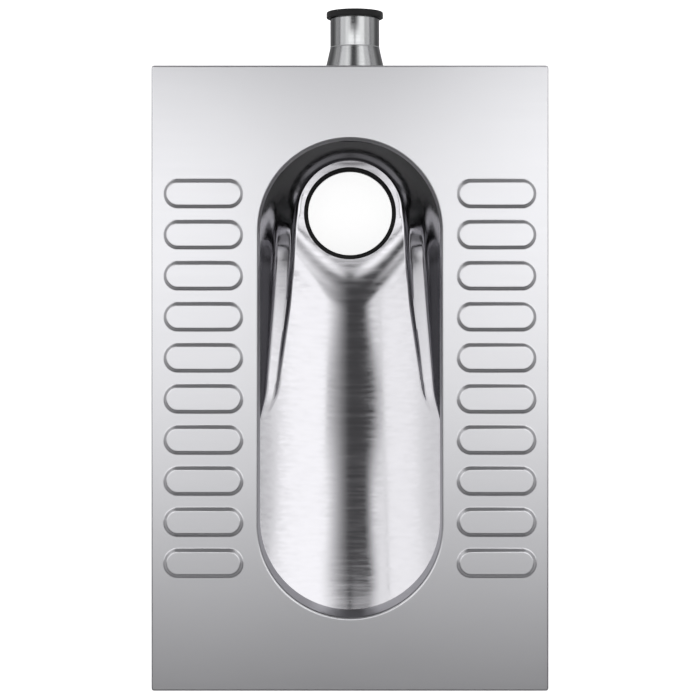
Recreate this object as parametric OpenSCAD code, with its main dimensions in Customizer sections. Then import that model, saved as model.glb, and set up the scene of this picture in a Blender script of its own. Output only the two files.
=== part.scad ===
// Stainless steel squatting pan for setting flush into a floor.
// A pressed deck with raised treads carries a drawn bowl, an outlet spigot at the rear of the bowl
// and a flush inlet behind it. Every piece is sheet steel or tube but for two rubber seals.
//
// Frame: millimetres, +Z up, +Y to the rear, origin on the outlet axis at the spigot's lower end.
// The helper functions work in plan from the deck's centre, and in depth below the deck's top face.

/* [Deck plate] */
// Width of the deck, side to side
deck_w = 400; // [390:5:500]
// Length of the deck, front to rear
deck_l = 630; // [610:5:780]
// Height of the deck's top face above the outlet spigot's lower end
deck_h = 250; // [210:5:320]
// Thickness of the deck sheet
deck_t = 1.5; // [1:0.1:2]
// Height of the folded skirt, with the deck sheet
skirt_h = 28; // [24:1:40]
// Width of the lip folded inwards at the foot of the skirt
lip_w = 12; // [8:1:16]

/* [Opening] */
// Width of the opening at the deck's top face
mouth_w = 190; // [158:1:200]
// Length of the opening at the deck's top face
mouth_l = 487; // [405:1:520]
// Radius of the rolled edge between the deck and the collar
mouth_edge_r = 2.5; // [2.1:0.1:4]
// Depth of the collar's lower edge below the deck's top face
collar_d = 33; // [27:1:42]

/* [Treads] */
// Number of treads on each side
tread_n = 10; // [4:1:12]
// Distance between treads, centre to centre
tread_pitch = 41.3; // [34:0.1:45]
// Length of a tread, side to side
tread_w = 82; // [60:1:86]
// Width of a tread, front to rear
tread_l = 31; // [22:1:33]
// Height of a tread above the deck
tread_rise = 2.5; // [1.5:0.1:4]

/* [Bowl] */
// Thickness of the bowl sheet
bowl_t = 1.2; // [1:0.1:2]
// Clear width of the flush channel, from the collar to the bowl's upper wall
channel_w = 11; // [8:0.5:16]
// Width of the bowl's flange under the deck
flange_w = 12; // [8:1:14]
// Depth at which the upright channel wall turns in to the sloping wall
shoulder_d = 28; // [22:1:34]
// Slope of the side walls, as fall over run
wall_fall = 2.75; // [2:0.05:3]
// Slope of the walls at the front, as fall over run
front_fall = 6; // [3:0.5:8]
// Clear height of the flush slot under the collar at the front tip
flush_slot = 14.5; // [10:0.5:20]
// Depth of the level seat round the outlet
seat_d = 157; // [135:1:190]
// Radius of the trough's cross-section along its middle, at the rear
trough_r = 105; // [90:1:115]
// Radius of the trough's cross-section along its middle, at the front
trough_front_r = 122; // [100:1:140]
// Slope that the trough's sides tend to at the rear, as rise over run
trough_side = 0.45; // [0.4:0.01:0.6]
// Slope that the trough's sides tend to at the front, as rise over run
trough_front_side = 0.6; // [0.5:0.01:0.7]
// Size of the blend between the trough and the level seat
seat_blend = 5; // [3:0.5:8]
// Size of the blend between the walls and the floor
crease_blend = 2; // [1:0.5:3]

/* [Outlet] */
// Distance of the outlet axis in front of the opening's rear edge
outlet_back = 75.5; // [72:0.5:90]
// Outside diameter of the outlet spigot
outlet_od = 101.6; // [84:0.1:112]
// Wall of the outlet spigot
outlet_t = 1.5; // [1:0.1:3]
// Step by which the spigot's top is drawn in to sit in the bowl's hole
outlet_step = 0.8; // [0.6:0.1:1.2]
// Wall of the outlet's rubber seal, inside the spigot
seal_wall = 1.6; // [1:0.1:6]
// Height of the seal's sleeve inside the spigot
seal_sleeve = 14; // [8:1:30]
// Thickness of the seal's lip on the seat
seal_lip = 2; // [1:0.5:3]
// Width of the backing ring round the spigot, under the bowl
backing_w = 6; // [4:0.5:7]
// Thickness of the backing ring
backing_t = 3; // [2:0.5:5]

/* [Flush inlet] */
// Sideways offset of the flush inlet from the centre line
inlet_x = 5; // [0:0.5:8]
// Depth of the flush inlet's axis below the deck's top face
inlet_d = 45; // [42:1:60]
// Outside diameter of the flush inlet tube
inlet_od = 50.8; // [38:0.1:61]
// Wall of the flush inlet tube
inlet_t = 1.2; // [1:0.1:2]
// Distance from the deck's rear edge to the end of the flush inlet
inlet_reach = 60; // [45:1:100]
// Length of the plain tube in front of the end
inlet_straight = 37; // [20:1:40]
// Outside diameter of the reducer's neck at the bowl
neck_od = 76.2; // [63:0.1:80]
// Half angle of the reducer's cone
cone_angle = 12.8; // [8:0.2:20]
// Wall of the inlet's rubber cuff, inside the tube
cuff_wall = 1.6; // [1:0.1:5]
// Wall of the cuff's ring, outside the tube
cuff_ring_w = 3.8; // [2:0.1:6]
// Length of the cuff's ring
cuff_ring_l = 6.8; // [5:0.2:12]
// Length of the cuff's sleeve, inside the tube
cuff_sleeve = 22; // [12:1:30]

/* [Stiffeners and fixings] */
// Inside width of the ribs under the deck
rib_w = 24; // [16:1:28]
// Width of each foot of a rib
rib_foot = 6; // [4:1:8]
// Height of a rib
rib_h = 18; // [10:1:22]
// Thickness of the rib sheet
rib_t = 1.5; // [1:0.1:2]
// Distance of the anchors from the ends of the deck
anchor_in = 95; // [70:5:140]
// Width of an anchor strap
anchor_w = 25; // [20:1:40]
// Thickness of an anchor strap
anchor_t = 2; // [1.5:0.5:4]
// Depth of an anchor's foot below the deck's top face
anchor_d = 95; // [60:5:120]
// Length of an anchor's foot
anchor_foot = 28; // [20:1:36]
// Diameter of an anchor's bolt hole
anchor_hole_d = 9; // [6:0.5:12]
// Diameter of the earthing tab's hole
earth_hole_d = 6.5; // [4.5:0.5:8.5]
// Depth of the earthing tab's hole below the deck's top face
earth_hole_depth = 42; // [38:1:60]

/* [Hidden] */

$fn = 96;
cut = 1;                                    // how far a cutter runs past what it cuts
weld_gap = 0.2;                             // gap between two pieces that are welded or slid together
press_gap = 0.1;                            // gap between a rubber sleeve and its tube

// Opening and collar
spine = (mouth_l - mouth_w) / 2;            // half the straight length of the opening
collar_in = mouth_w / 2 - mouth_edge_r;     // half width between the collar's walls
collar_out = collar_in + deck_t;

// Bowl outline, all from the opening
wall_r = collar_out + channel_w;            // half width of the upright channel wall
outlet_y = mouth_l / 2 - outlet_back;       // outlet axis behind the deck's centre
outlet_top_r = outlet_od / 2 - outlet_step; // the spigot's drawn-in top
hole_r = outlet_top_r + weld_gap;           // hole in the bowl's seat
seal_clear_r = outlet_top_r - outlet_t - press_gap - seal_wall;
seat_r = outlet_od / 2 + backing_w + 0.5;   // the seat is level out to here
base_r = seat_r + 2.5;                      // foot of the walls behind the outlet
steep_y = -0.15 * spine;                    // in front of here the side walls steepen
steep_l = 0.54 * spine;                     // length over which they do

// Bowl floor: a trough that falls straight from the front tip, until it meets the level seat.
// The lead keeps the whole seat clear of the trough's sides; its fall is a first estimate.
tip_y = -(spine + wall_r);
tip_line_d = collar_d + flush_slot;         // depth of the fall at the tip
lead_fall = (seat_d - tip_line_d) / (outlet_y - 1.3 * seat_r - tip_y);
fall_lead = max([
    for (a = [0 : 3 : 90]) seat_r * cos(a) + (side_rise(seat_r * sin(a), 0) + seat_blend) / lead_fall
]);
fall_y = outlet_y - fall_lead;              // where the straight fall would reach the seat's depth
fall_slope = (seat_d - tip_line_d) / (fall_y - tip_y);

// Flush inlet, from the deck's rear edge
inlet_end = deck_l / 2 + inlet_reach;
cuff_t = 1.5;                               // the cuff's face on the tube's end
cuff_clear_r = inlet_od / 2 - inlet_t - press_gap - cuff_wall;
cuff_ring_r = inlet_od / 2 + press_gap + cuff_ring_w;
cone_small_y = inlet_end - inlet_straight;
cone_l = (neck_od - inlet_od) / 2 / tan(cone_angle);
cone_big_y = cone_small_y - cone_l;
neck_t = 1.5;                               // wall of the reducer
notch_r = inlet_od / 2 + (cone_small_y - (deck_l / 2 - lip_w)) * tan(cone_angle) + 2.5;

// Places under the deck
tread_x = (mouth_w / 2 + deck_w / 2) / 2;
rib_l = (tread_n - 1) * tread_pitch + 2 * tread_l;
rib_half = rib_w / 2 + rib_foot;
tab_w = 18;                                 // width of the earthing tab
front_rib_y = -(max(spine + wall_r + flange_w, rib_l / 2 + tab_w) + rib_half + 1.5);
rear_rib_x = neck_od / 2 + inlet_x + 8;
rear_rib_l = deck_w / 2 - rear_rib_x - 28;

steel = "silver";
dark_steel = "gray";
rubber = [0.08, 0.08, 0.09];

// ---------------------------------------------------------------- shape of the bowl

function clamp(v, lo, hi) = min(max(v, lo), hi);
function smooth(t) = let (c = clamp(t, 0, 1)) c * c * (3 - 2 * c);
function soft_min(a, b, k) = min(a, b) - pow(max(k - abs(a - b), 0), 2) / (4 * k);

// Share of the way from the rear of the fall to the opening's front arc
function forward(y) = clamp((fall_y - y) / (fall_y + spine), 0, 1);

// Rise of the trough's cross-section at a distance x from its middle: round, then nearly straight
function side_rise(x, share) =
    let (
        side = trough_side + (trough_front_side - trough_side) * share,
        c = side * (trough_r + (trough_front_r - trough_r) * share)
    )
    side * (sqrt(x * x + c * c) - c);

// Depth of the trough, before the seat and the walls are blended in
function trough_d(x, y) = seat_d - fall_slope * (fall_y - y) - side_rise(x, forward(y));

// Depth of the floor: the trough, down to the level seat
function floor_d(x, y) = soft_min(trough_d(x, y), seat_d, seat_blend);

// Distance from the outlet axis to the channel wall, along a ray at angle a from the rear
function ray_l(a) =
    let (b = (outlet_y - spine) * cos(a))
    -b + sqrt(b * b - pow(outlet_y - spine, 2) + wall_r * wall_r);

// Fall of the side wall over its run
function side_fall(y) = wall_fall + (front_fall - wall_fall) * smooth((steep_y - y) / steep_l);

// Fall of the wall over its run: the side wall's, easing to a steep fall behind the outlet
function fall_at(x, y) =
    let (
        rear = (seat_d - shoulder_d) / (ray_l(atan2(abs(x), max(y - outlet_y, 0))) - base_r),
        side = side_fall(y)
    )
    side + (rear - side) * smooth((y - outlet_y + 110) / 90);

// Run from the channel wall in to the point: along the ray behind the outlet, square to the wall elsewhere
function run_in(x, y) =
    y > outlet_y
        ? ray_l(atan2(abs(x), y - outlet_y)) - norm([x, y - outlet_y])
        : let (side = y > spine ? sqrt(wall_r * wall_r - pow(y - spine, 2)) - abs(x) : wall_r - abs(x))
          y < -spine ? wall_r - norm([x, y + spine]) : side;

// Share of its whole depth that the wall has reached at a share t of its run: steep, then flat,
// then a short riser down to the floor
function wall_share(t) =
    soft_min(1.8 * t, 0.882 + 0.152 * (t - 0.49), 0.165)
    + 14.8 * pow(clamp(t - 0.94, 0, 0.03), 2) + 0.89 * max(t - 0.97, 0);

// Depth of the wall, which is straight behind the outlet
function wall_d(x, y) =
    let (
        bent = 1 - smooth((y - outlet_y + 50) / 95),
        foot = floor_d(0.7 * wall_r, y) - shoulder_d,
        t = max(run_in(x, y), 0) * fall_at(x, y) / foot
    )
    shoulder_d + foot * (t + (wall_share(t) - t) * bent);

// Depth of the bowl's upper face below the deck's top face
function bowl_d(x, y) =
    soft_min(floor_d(x, y), wall_d(x, y), crease_blend * fall_at(x, y) / side_fall(y));

// ---------------------------------------------------------------- rings of the bowl

rear_n = 9;                                 // steps over each rear quarter
front_n = 32;                               // steps from the outlet round to the front tip
half_n = rear_n + front_n;
ring_n = 2 * half_n;

start_a = asin((outlet_y - spine) / wall_r);
arc_in = start_a * PI / 180 * wall_r;
arc_out = PI / 2 * wall_r;
path_l = arc_in + 2 * spine + arc_out;

// Point of the channel wall's outline at path length s in front of the outlet
function outline_front(s) =
    s < arc_in
        ? let (a = start_a - s / wall_r * 180 / PI) [wall_r * cos(a), spine + wall_r * sin(a)]
    : s < arc_in + 2 * spine
        ? [wall_r, spine - (s - arc_in)]
        : let (a = (s - arc_in - 2 * spine) / wall_r * 180 / PI) [wall_r * cos(a), -spine - wall_r * sin(a)];

// Outline, inward direction and direction from the outlet at step k, from the rear centre (0) to the front tip
function half_outline(k) =
    k <= rear_n
        ? let (a = 90 * k / rear_n) [ray_l(a) * sin(a), outlet_y + ray_l(a) * cos(a)]
        : outline_front((k - rear_n) / front_n * path_l);
function half_inward(k) =
    let (p = half_outline(k))
    k <= rear_n
        ? let (a = 90 * k / rear_n) [-sin(a), -cos(a)]
        : let (c = [0, clamp(p.y, -spine, spine)], v = c - p) v / norm(v);
function half_ray(k) =
    let (a = k <= rear_n ? 90 * k / rear_n : 90 + 90 * (k - rear_n) / front_n)
    [sin(a), cos(a)];

// Run from the outline to the crease, found by halving the interval
function crease_q(p, v, lo = 0, hi = 60, n = 14) =
    let (q = (lo + hi) / 2, c = p + v * q)
    n == 0 ? q : wall_d(c.x, c.y) < floor_d(c.x, c.y) ? crease_q(p, v, q, hi, n - 1) : crease_q(p, v, lo, q, n - 1);

half_creases = [for (k = [0 : half_n]) max(crease_q(half_outline(k), half_inward(k)), 3.5)];

function mirror_k(i) = i <= half_n ? i : ring_n - i;
function flip(p, i) = i <= half_n ? p : [-p.x, p.y];
outline = [for (i = [0 : ring_n - 1]) flip(half_outline(mirror_k(i)), i)];
inward = [for (i = [0 : ring_n - 1]) flip(half_inward(mirror_k(i)), i)];
rays = [for (i = [0 : ring_n - 1]) flip(half_ray(mirror_k(i)), i)];
seat = [for (v = rays) [0, outlet_y] + v * seat_r];
crease = [for (i = [0 : ring_n - 1]) outline[i] + inward[i] * half_creases[mirror_k(i)]];

// Shares of the way from the outline to the crease, and from the crease to the rim of the seat
wall_steps = [0, 0.25, 0.4, 0.5, 0.6, 0.78, 0.93, 0.965, 1];
floor_steps = [0.05, 0.12, 0.22, 0.33, 0.45, 0.57, 0.68, 0.77, 0.84, 0.89, 0.93, 0.97, 1];

function ring_xy(v) =
    [for (i = [0 : ring_n - 1]) v < len(wall_steps)
        ? outline[i] + (crease[i] - outline[i]) * wall_steps[v]
        : crease[i] + (seat[i] - crease[i]) * floor_steps[v - len(wall_steps)]];

// A point of the upper face, and the point under it through the sheet
function top_point(p) = [p.x, p.y, -bowl_d(p.x, p.y)];
function under_point(p, i) =
    let (
        e = 0.2,
        a = p + inward[i] * e,
        gx = (bowl_d(a.x + e, a.y) - bowl_d(a.x - e, a.y)) / (2 * e),
        gy = (bowl_d(a.x, a.y + e) - bowl_d(a.x, a.y - e)) / (2 * e),
        n = [gx, gy, 1] / norm([gx, gy, 1])
    )
    top_point(p) - bowl_t * n;

module bowl_shell() {
    ring_v = len(wall_steps) + len(floor_steps);
    plans = [for (v = [0 : ring_v - 1]) ring_xy(v)];
    flange_top = [
        [for (i = [0 : ring_n - 1]) let (p = outline[i] - inward[i] * flange_w) [p.x, p.y, -deck_t]],
        [for (i = [0 : ring_n - 1]) let (p = outline[i]) [p.x, p.y, -deck_t]]
    ];
    tops = [for (v = [0 : ring_v - 1]) [for (p = plans[v]) top_point(p)]];
    unders = [
        for (v = [ring_v - 1 : -1 : 0])
            v == 0
                ? [for (i = [0 : ring_n - 1])
                    let (p = outline[i] - inward[i] * bowl_t) [p.x, p.y, top_point(outline[i]).z - bowl_t / 3]]
            : v == ring_v - 1
                ? [for (p = plans[v]) [p.x, p.y, -seat_d - bowl_t]]
                : [for (i = [0 : ring_n - 1]) under_point(plans[v][i], i)]
    ];
    // the seat runs a little into the outlet's hole, which is cut through it
    inner = [for (v = rays) [0, outlet_y] + v * (hole_r - 2 * cut)];
    seat_edge = [
        [for (p = inner) [p.x, p.y, -seat_d]],
        [for (p = inner) [p.x, p.y, -seat_d - bowl_t]]
    ];
    flange_under = [
        [for (i = [0 : ring_n - 1])
            let (p = outline[i] - inward[i] * bowl_t) [p.x, p.y, -deck_t - bowl_t]],
        [for (i = [0 : ring_n - 1])
            let (p = outline[i] - inward[i] * flange_w) [p.x, p.y, -deck_t - bowl_t]]
    ];
    rings = concat(flange_top, tops, seat_edge, unders, flange_under);
    n = len(rings);
    points = [for (r = rings) for (p = r) p];
    faces = [
        for (j = [0 : n - 1]) for (i = [0 : ring_n - 1])
            let (
                i2 = (i + 1) % ring_n,
                j2 = (j + 1) % n,
                a = j * ring_n + i,
                b = j * ring_n + i2,
                c = j2 * ring_n + i2,
                d = j2 * ring_n + i
            )
            each [[a, b, c], [a, c, d]]
    ];
    polyhedron(points, faces);
}

// ---------------------------------------------------------------- helpers

// Moves from the deck's centre and top face to the part's frame
module placed() {
    translate([0, -outlet_y, deck_h]) children();
}

module stadium(half_w, half_l) {
    square([2 * half_w, 2 * half_l], center = true);
    translate([0, half_l]) circle(half_w);
    translate([0, -half_l]) circle(half_w);
}

module obround(length, width) {
    square([length - width, width], center = true);
    for (s = [-1, 1]) translate([s * (length - width) / 2, 0]) circle(width / 2);
}

// Sweeps a profile, drawn as distance from the spine and height, round the opening
module round_mouth() {
    for (s = [0, 180]) {
        rotate([0, 0, s]) translate([0, spine, 0]) rotate_extrude(angle = 180) children();
        rotate([0, 0, s]) translate([0, spine, 0]) rotate([90, 0, 0]) linear_extrude(2 * spine) children();
    }
}

module collar_profile() {
    intersection() {
        translate([mouth_w / 2, -mouth_edge_r])
            difference() {
                circle(mouth_edge_r);
                circle(mouth_edge_r - deck_t);
            }
        translate([collar_in, -mouth_edge_r]) square(mouth_edge_r);
    }
    translate([collar_in, -collar_d]) square([deck_t, collar_d - mouth_edge_r]);
}

module at_treads() {
    for (side = [-1, 1], i = [0 : tread_n - 1])
        translate([side * tread_x, (i - (tread_n - 1) / 2) * tread_pitch, 0]) children();
}

// Tube along Y, from y1 to y2
module tube_y(r_out, r_in, y1, y2) {
    translate([inlet_x, y2, -inlet_d]) rotate([90, 0, 0])
        difference() {
            cylinder(r = r_out, h = y2 - y1);
            translate([0, 0, -cut]) cylinder(r = r_in, h = y2 - y1 + 2 * cut);
        }
}

// Hat-section rib along Y with its feet against the deck, centred on x = 0
module rib(length) {
    rotate([90, 0, 0]) linear_extrude(length, center = true) {
        for (s = [-1, 1]) {
            translate([s * (rib_w / 2 + rib_foot / 2), -deck_t - rib_t / 2]) square([rib_foot, rib_t], center = true);
            translate([s * (rib_w / 2 - rib_t / 2), -deck_t - rib_h / 2]) square([rib_t, rib_h], center = true);
        }
        translate([0, -deck_t - rib_h + rib_t / 2]) square([rib_w, rib_t], center = true);
    }
}

// Anchor strap inside the right skirt: a leg down from the deck and a foot turned inwards
module anchor() {
    leg_x = deck_w / 2 - lip_w - anchor_t;
    translate([leg_x, -anchor_w / 2, -anchor_d]) cube([anchor_t, anchor_w, anchor_d - deck_t]);
    difference() {
        translate([leg_x + anchor_t - anchor_foot, -anchor_w / 2, -anchor_d])
            cube([anchor_foot - anchor_t, anchor_w, anchor_t]);
        translate([leg_x + anchor_t - anchor_foot / 2, 0, -anchor_d - cut])
            cylinder(d = anchor_hole_d, h = anchor_t + 2 * cut);
    }
}

module anchor_at(side, rear) {
    color(dark_steel) placed()
        scale([side, 1, 1]) translate([0, rear * (deck_l / 2 - anchor_in), 0]) anchor();
}

// ---------------------------------------------------------------- the pieces

module deck_plate() {
    color(steel) placed()
        difference() {
            union() {
                // sheet
                translate([0, 0, -deck_t])
                    linear_extrude(deck_t)
                        difference() {
                            square([deck_w, deck_l], center = true);
                            stadium(mouth_w / 2, spine);
                        }
                // skirt
                translate([0, 0, -skirt_h])
                    linear_extrude(skirt_h)
                        difference() {
                            square([deck_w, deck_l], center = true);
                            square([deck_w - 2 * deck_t, deck_l - 2 * deck_t], center = true);
                        }
                // lip
                translate([0, 0, -skirt_h])
                    linear_extrude(deck_t)
                        difference() {
                            square([deck_w, deck_l], center = true);
                            square([deck_w - 2 * lip_w, deck_l - 2 * lip_w], center = true);
                        }
                round_mouth() collar_profile();
                translate([0, 0, -deck_t]) at_treads() linear_extrude(deck_t + tread_rise) obround(tread_w, tread_l);
            }
            // hollow under each tread
            translate([0, 0, -deck_t - cut])
                at_treads() linear_extrude(tread_rise + cut) obround(tread_w - 2 * deck_t, tread_l - 2 * deck_t);
            // notch in the rear skirt for the flush inlet
            translate([inlet_x, deck_l / 2 + cut, -inlet_d]) rotate([90, 0, 0])
                cylinder(r = notch_r, h = lip_w + 2 * cut);
        }
}

module bowl() {
    color(steel) placed()
        difference() {
            bowl_shell();
            // hole for the outlet
            translate([0, outlet_y, -seat_d - bowl_t - cut]) cylinder(r = hole_r, h = bowl_t + 2 * cut);
            // hole for the flush inlet, through the rear wall
            translate([inlet_x, spine + wall_r + flange_w, -inlet_d]) rotate([90, 0, 0])
                cylinder(r = neck_od / 2 - neck_t, h = flange_w + 40);
        }
}

// Tube with its top drawn in, which stands in the bowl's hole with its shoulder against the backing ring
module outlet_spigot() {
    shoulder = deck_h - seat_d - bowl_t - backing_t;
    top_h = deck_h - seat_d - shoulder;
    color(steel)
        difference() {
            union() {
                cylinder(d = outlet_od, h = shoulder);
                translate([0, 0, shoulder]) cylinder(r = outlet_top_r, h = top_h);
            }
            translate([0, 0, -cut]) cylinder(d = outlet_od - 2 * outlet_t, h = shoulder - outlet_t + cut);
            translate([0, 0, -cut]) cylinder(r = outlet_top_r - outlet_t, h = deck_h);
        }
}

module outlet_backing_ring() {
    color(dark_steel)
        translate([0, 0, deck_h - seat_d - bowl_t - backing_t])
            difference() {
                cylinder(r = outlet_od / 2 + backing_w, h = backing_t);
                translate([0, 0, -cut]) cylinder(r = outlet_top_r + weld_gap / 2, h = backing_t + 2 * cut);
            }
}

module outlet_seal() {
    color(rubber)
        translate([0, 0, deck_h - seat_d])
            rotate_extrude() {
                translate([seal_clear_r, 0]) square([hole_r + 1 - seal_clear_r, seal_lip]);
                translate([seal_clear_r, -seal_sleeve]) square([seal_wall, seal_sleeve + seal_lip / 2]);
            }
}

// Space the bowl fills behind the outlet, with the weld gap, where the reducer's neck meets it
module bowl_rear_envelope() {
    run = (seat_d - shoulder_d) / (spine + wall_r - outlet_y - base_r);
    r_top = wall_r + bowl_t + weld_gap;
    depth = inlet_d + neck_od / 2 + 5 - shoulder_d;
    translate([0, spine, -shoulder_d]) cylinder(r = r_top, h = shoulder_d);
    translate([0, spine, -shoulder_d - depth]) cylinder(r1 = r_top - depth / run, r2 = r_top, h = depth);
    translate([0, spine, -deck_t - bowl_t]) cylinder(r = wall_r + flange_w + weld_gap, h = bowl_t);
}

module inlet_reducer() {
    big = neck_od / 2;
    small = inlet_od / 2;
    neck_l = cone_big_y - spine - wall_r * 0.8;
    color(steel) placed()
        difference() {
            translate([inlet_x, cone_small_y, -inlet_d]) rotate([90, 0, 0])
                rotate_extrude()
                    polygon([
                        [small - neck_t, 0], [small, 0], [big, cone_l], [big, cone_l + neck_l],
                        [big - neck_t, cone_l + neck_l], [big - neck_t, cone_l]
                    ]);
            bowl_rear_envelope();
        }
}

module inlet_tube() {
    color(steel) placed()
        tube_y(inlet_od / 2, inlet_od / 2 - inlet_t, cone_small_y, inlet_end - cuff_t);
}

// Rubber cuff folded over the tube's end: a sleeve inside it, a face on its end and a ring outside it
module inlet_cuff() {
    color(rubber) placed() {
        tube_y(cuff_clear_r + cuff_wall, cuff_clear_r, inlet_end - cuff_sleeve, inlet_end);
        tube_y(cuff_ring_r, cuff_clear_r, inlet_end - cuff_t, inlet_end);
        tube_y(cuff_ring_r, cuff_ring_r - cuff_ring_w, inlet_end - cuff_ring_l, inlet_end);
    }
}

module tread_rib_left() {
    color(dark_steel) placed() translate([-tread_x, 0, 0]) rib(rib_l);
}

module tread_rib_right() {
    color(dark_steel) placed() translate([tread_x, 0, 0]) rib(rib_l);
}

module front_rib() {
    color(dark_steel) placed() translate([0, front_rib_y, 0]) rotate([0, 0, 90]) rib(deck_w - 120);
}

module rear_rib(side) {
    color(dark_steel) placed()
        translate([side * (rear_rib_x + rear_rib_l / 2), -front_rib_y, 0]) rotate([0, 0, 90]) rib(rear_rib_l);
}

module rear_rib_left() {
    rear_rib(-1);
}

module rear_rib_right() {
    rear_rib(1);
}

module anchor_front_left() {
    anchor_at(-1, -1);
}

module anchor_front_right() {
    anchor_at(1, -1);
}

module anchor_rear_left() {
    anchor_at(-1, 1);
}

module anchor_rear_right() {
    anchor_at(1, 1);
}

// Angle with a hole for an earthing lead, under the deck beside the right tread rib
module earthing_tab() {
    tab_t = 2;
    color(steel) placed()
        translate([tread_x - rib_half - tab_w / 2, -rib_l / 2 - tab_w, 0]) {
            translate([-tab_w / 2, 0, -deck_t - tab_t]) cube([tab_w, tab_w, tab_t]);
            difference() {
                translate([-tab_w / 2, 0, -earth_hole_depth - tab_w / 2])
                    cube([tab_w, tab_t, earth_hole_depth + tab_w / 2 - deck_t - tab_t]);
                translate([0, -cut, -earth_hole_depth]) rotate([-90, 0, 0])
                    cylinder(d = earth_hole_d, h = tab_t + 2 * cut);
            }
        }
}

deck_plate();
bowl();
outlet_spigot();
outlet_backing_ring();
outlet_seal();
inlet_reducer();
inlet_tube();
inlet_cuff();
tread_rib_left();
tread_rib_right();
front_rib();
rear_rib_left();
rear_rib_right();
anchor_front_left();
anchor_front_right();
anchor_rear_left();
anchor_rear_right();
earthing_tab();
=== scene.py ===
"""A stainless steel squatting pan, built round its CAD frame, with its floor, lights and camera."""

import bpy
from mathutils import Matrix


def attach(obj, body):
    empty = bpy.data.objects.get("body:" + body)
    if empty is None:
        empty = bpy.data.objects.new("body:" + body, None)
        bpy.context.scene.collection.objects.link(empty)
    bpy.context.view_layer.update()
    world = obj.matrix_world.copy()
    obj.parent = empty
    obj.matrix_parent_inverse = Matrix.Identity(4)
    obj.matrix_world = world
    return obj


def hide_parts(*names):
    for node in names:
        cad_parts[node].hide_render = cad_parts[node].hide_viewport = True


bl_info = {
    "name": "Steel Squatting Pan",
    "version": (1, 0, 0),
    "blender": (4, 5, 0),
    "location": "View3D > Sidebar > Squatting Pan",
    "description": "Builds a stainless steel squatting pan and a plain studio round it",
    "category": "Add Mesh",
}

import math

import bmesh
import bpy
from mathutils import Matrix, Vector

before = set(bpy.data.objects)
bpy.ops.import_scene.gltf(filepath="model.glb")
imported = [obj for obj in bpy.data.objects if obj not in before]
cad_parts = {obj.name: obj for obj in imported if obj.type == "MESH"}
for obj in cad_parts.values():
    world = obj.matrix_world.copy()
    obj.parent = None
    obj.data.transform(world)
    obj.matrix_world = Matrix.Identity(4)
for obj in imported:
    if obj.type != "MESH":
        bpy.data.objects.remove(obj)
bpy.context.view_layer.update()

MM = 0.001
TINY = 1e-6
UP = (0, 0, 1)
ON_Y = (math.pi / 2, 0, 0)           # turns a cylinder along Z so that it lies along Y
HOLD = 0.4 * MM                      # flat strip that keeps a bend's shading off the flat sheet
WELD_GAP = 0.2 * MM                  # gap between pieces that are welded or slid together
PRESS_GAP = 0.1 * MM                 # gap between a rubber sleeve and its tube
EDGE_TINT = (0.85, 0.85, 0.86, 1.0)  # steel reflects less at a low glancing angle


# ---------------------------------------------------------------- sizes and colours to change


def length(name, description, millimetres):
    """A length property, given in millimetres."""
    return bpy.props.FloatProperty(
        name=name, description=description, default=millimetres * MM, precision=4,
        unit="LENGTH", subtype="DISTANCE",
    )


def ratio(name, description, value):
    """A plain number property."""
    return bpy.props.FloatProperty(name=name, description=description, default=value, min=0.0)


def srgb(text):
    """Linear red, green and blue of an sRGB hex colour."""
    parts = [int(text[i:i + 2], 16) / 255 for i in (1, 3, 5)]
    return tuple(c / 12.92 if c <= 0.04045 else ((c + 0.055) / 1.055) ** 2.4 for c in parts)


def colour(name, description, text):
    """A colour property, given as an sRGB hex value."""
    return bpy.props.FloatVectorProperty(
        name=name, description=description, default=srgb(text), subtype="COLOR", min=0, max=1,
    )


class DeckSizes(bpy.types.PropertyGroup):
    width: length("Width", "Width of the deck, side to side", 400)
    length: length("Length", "Length of the deck, front to rear", 630)
    top: length("Top", "Height of the deck's top face above the spigot's lower end", 250)
    sheet: length("Sheet", "Thickness of the deck sheet", 1.5)
    skirt: length("Skirt", "Height of the folded skirt", 28)
    lip: length("Lip", "Width of the lip folded inwards at the foot of the skirt", 12)
    bend: length("Bend", "Outside radius of the bends along the skirt's edges", 1.6)
    corner: length("Corner", "Radius of the skirt's upright corners", 2.6)
    mouth_width: length("Mouth width", "Width of the opening at the deck's top face", 190)
    mouth_length: length("Mouth length", "Length of the opening at the deck's top face", 487)
    mouth_edge: length("Mouth edge", "Radius of the rolled edge round the opening", 2.5)
    collar: length("Collar", "Depth of the collar's lower edge", 33)


class TreadSizes(bpy.types.PropertyGroup):
    rows: bpy.props.IntProperty(
        name="Rows", description="Number of treads on each side", default=10, min=1,
    )
    pitch: length("Pitch", "Distance between treads", 41.3)
    length: length("Length", "Length of a tread, side to side", 82)
    width: length("Width", "Width of a tread, front to rear", 31)
    rise: length("Rise", "Height of a tread above the deck", 2.5)
    slope: length("Slope", "Run of the drawn edge round a tread", 4.2)


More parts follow.
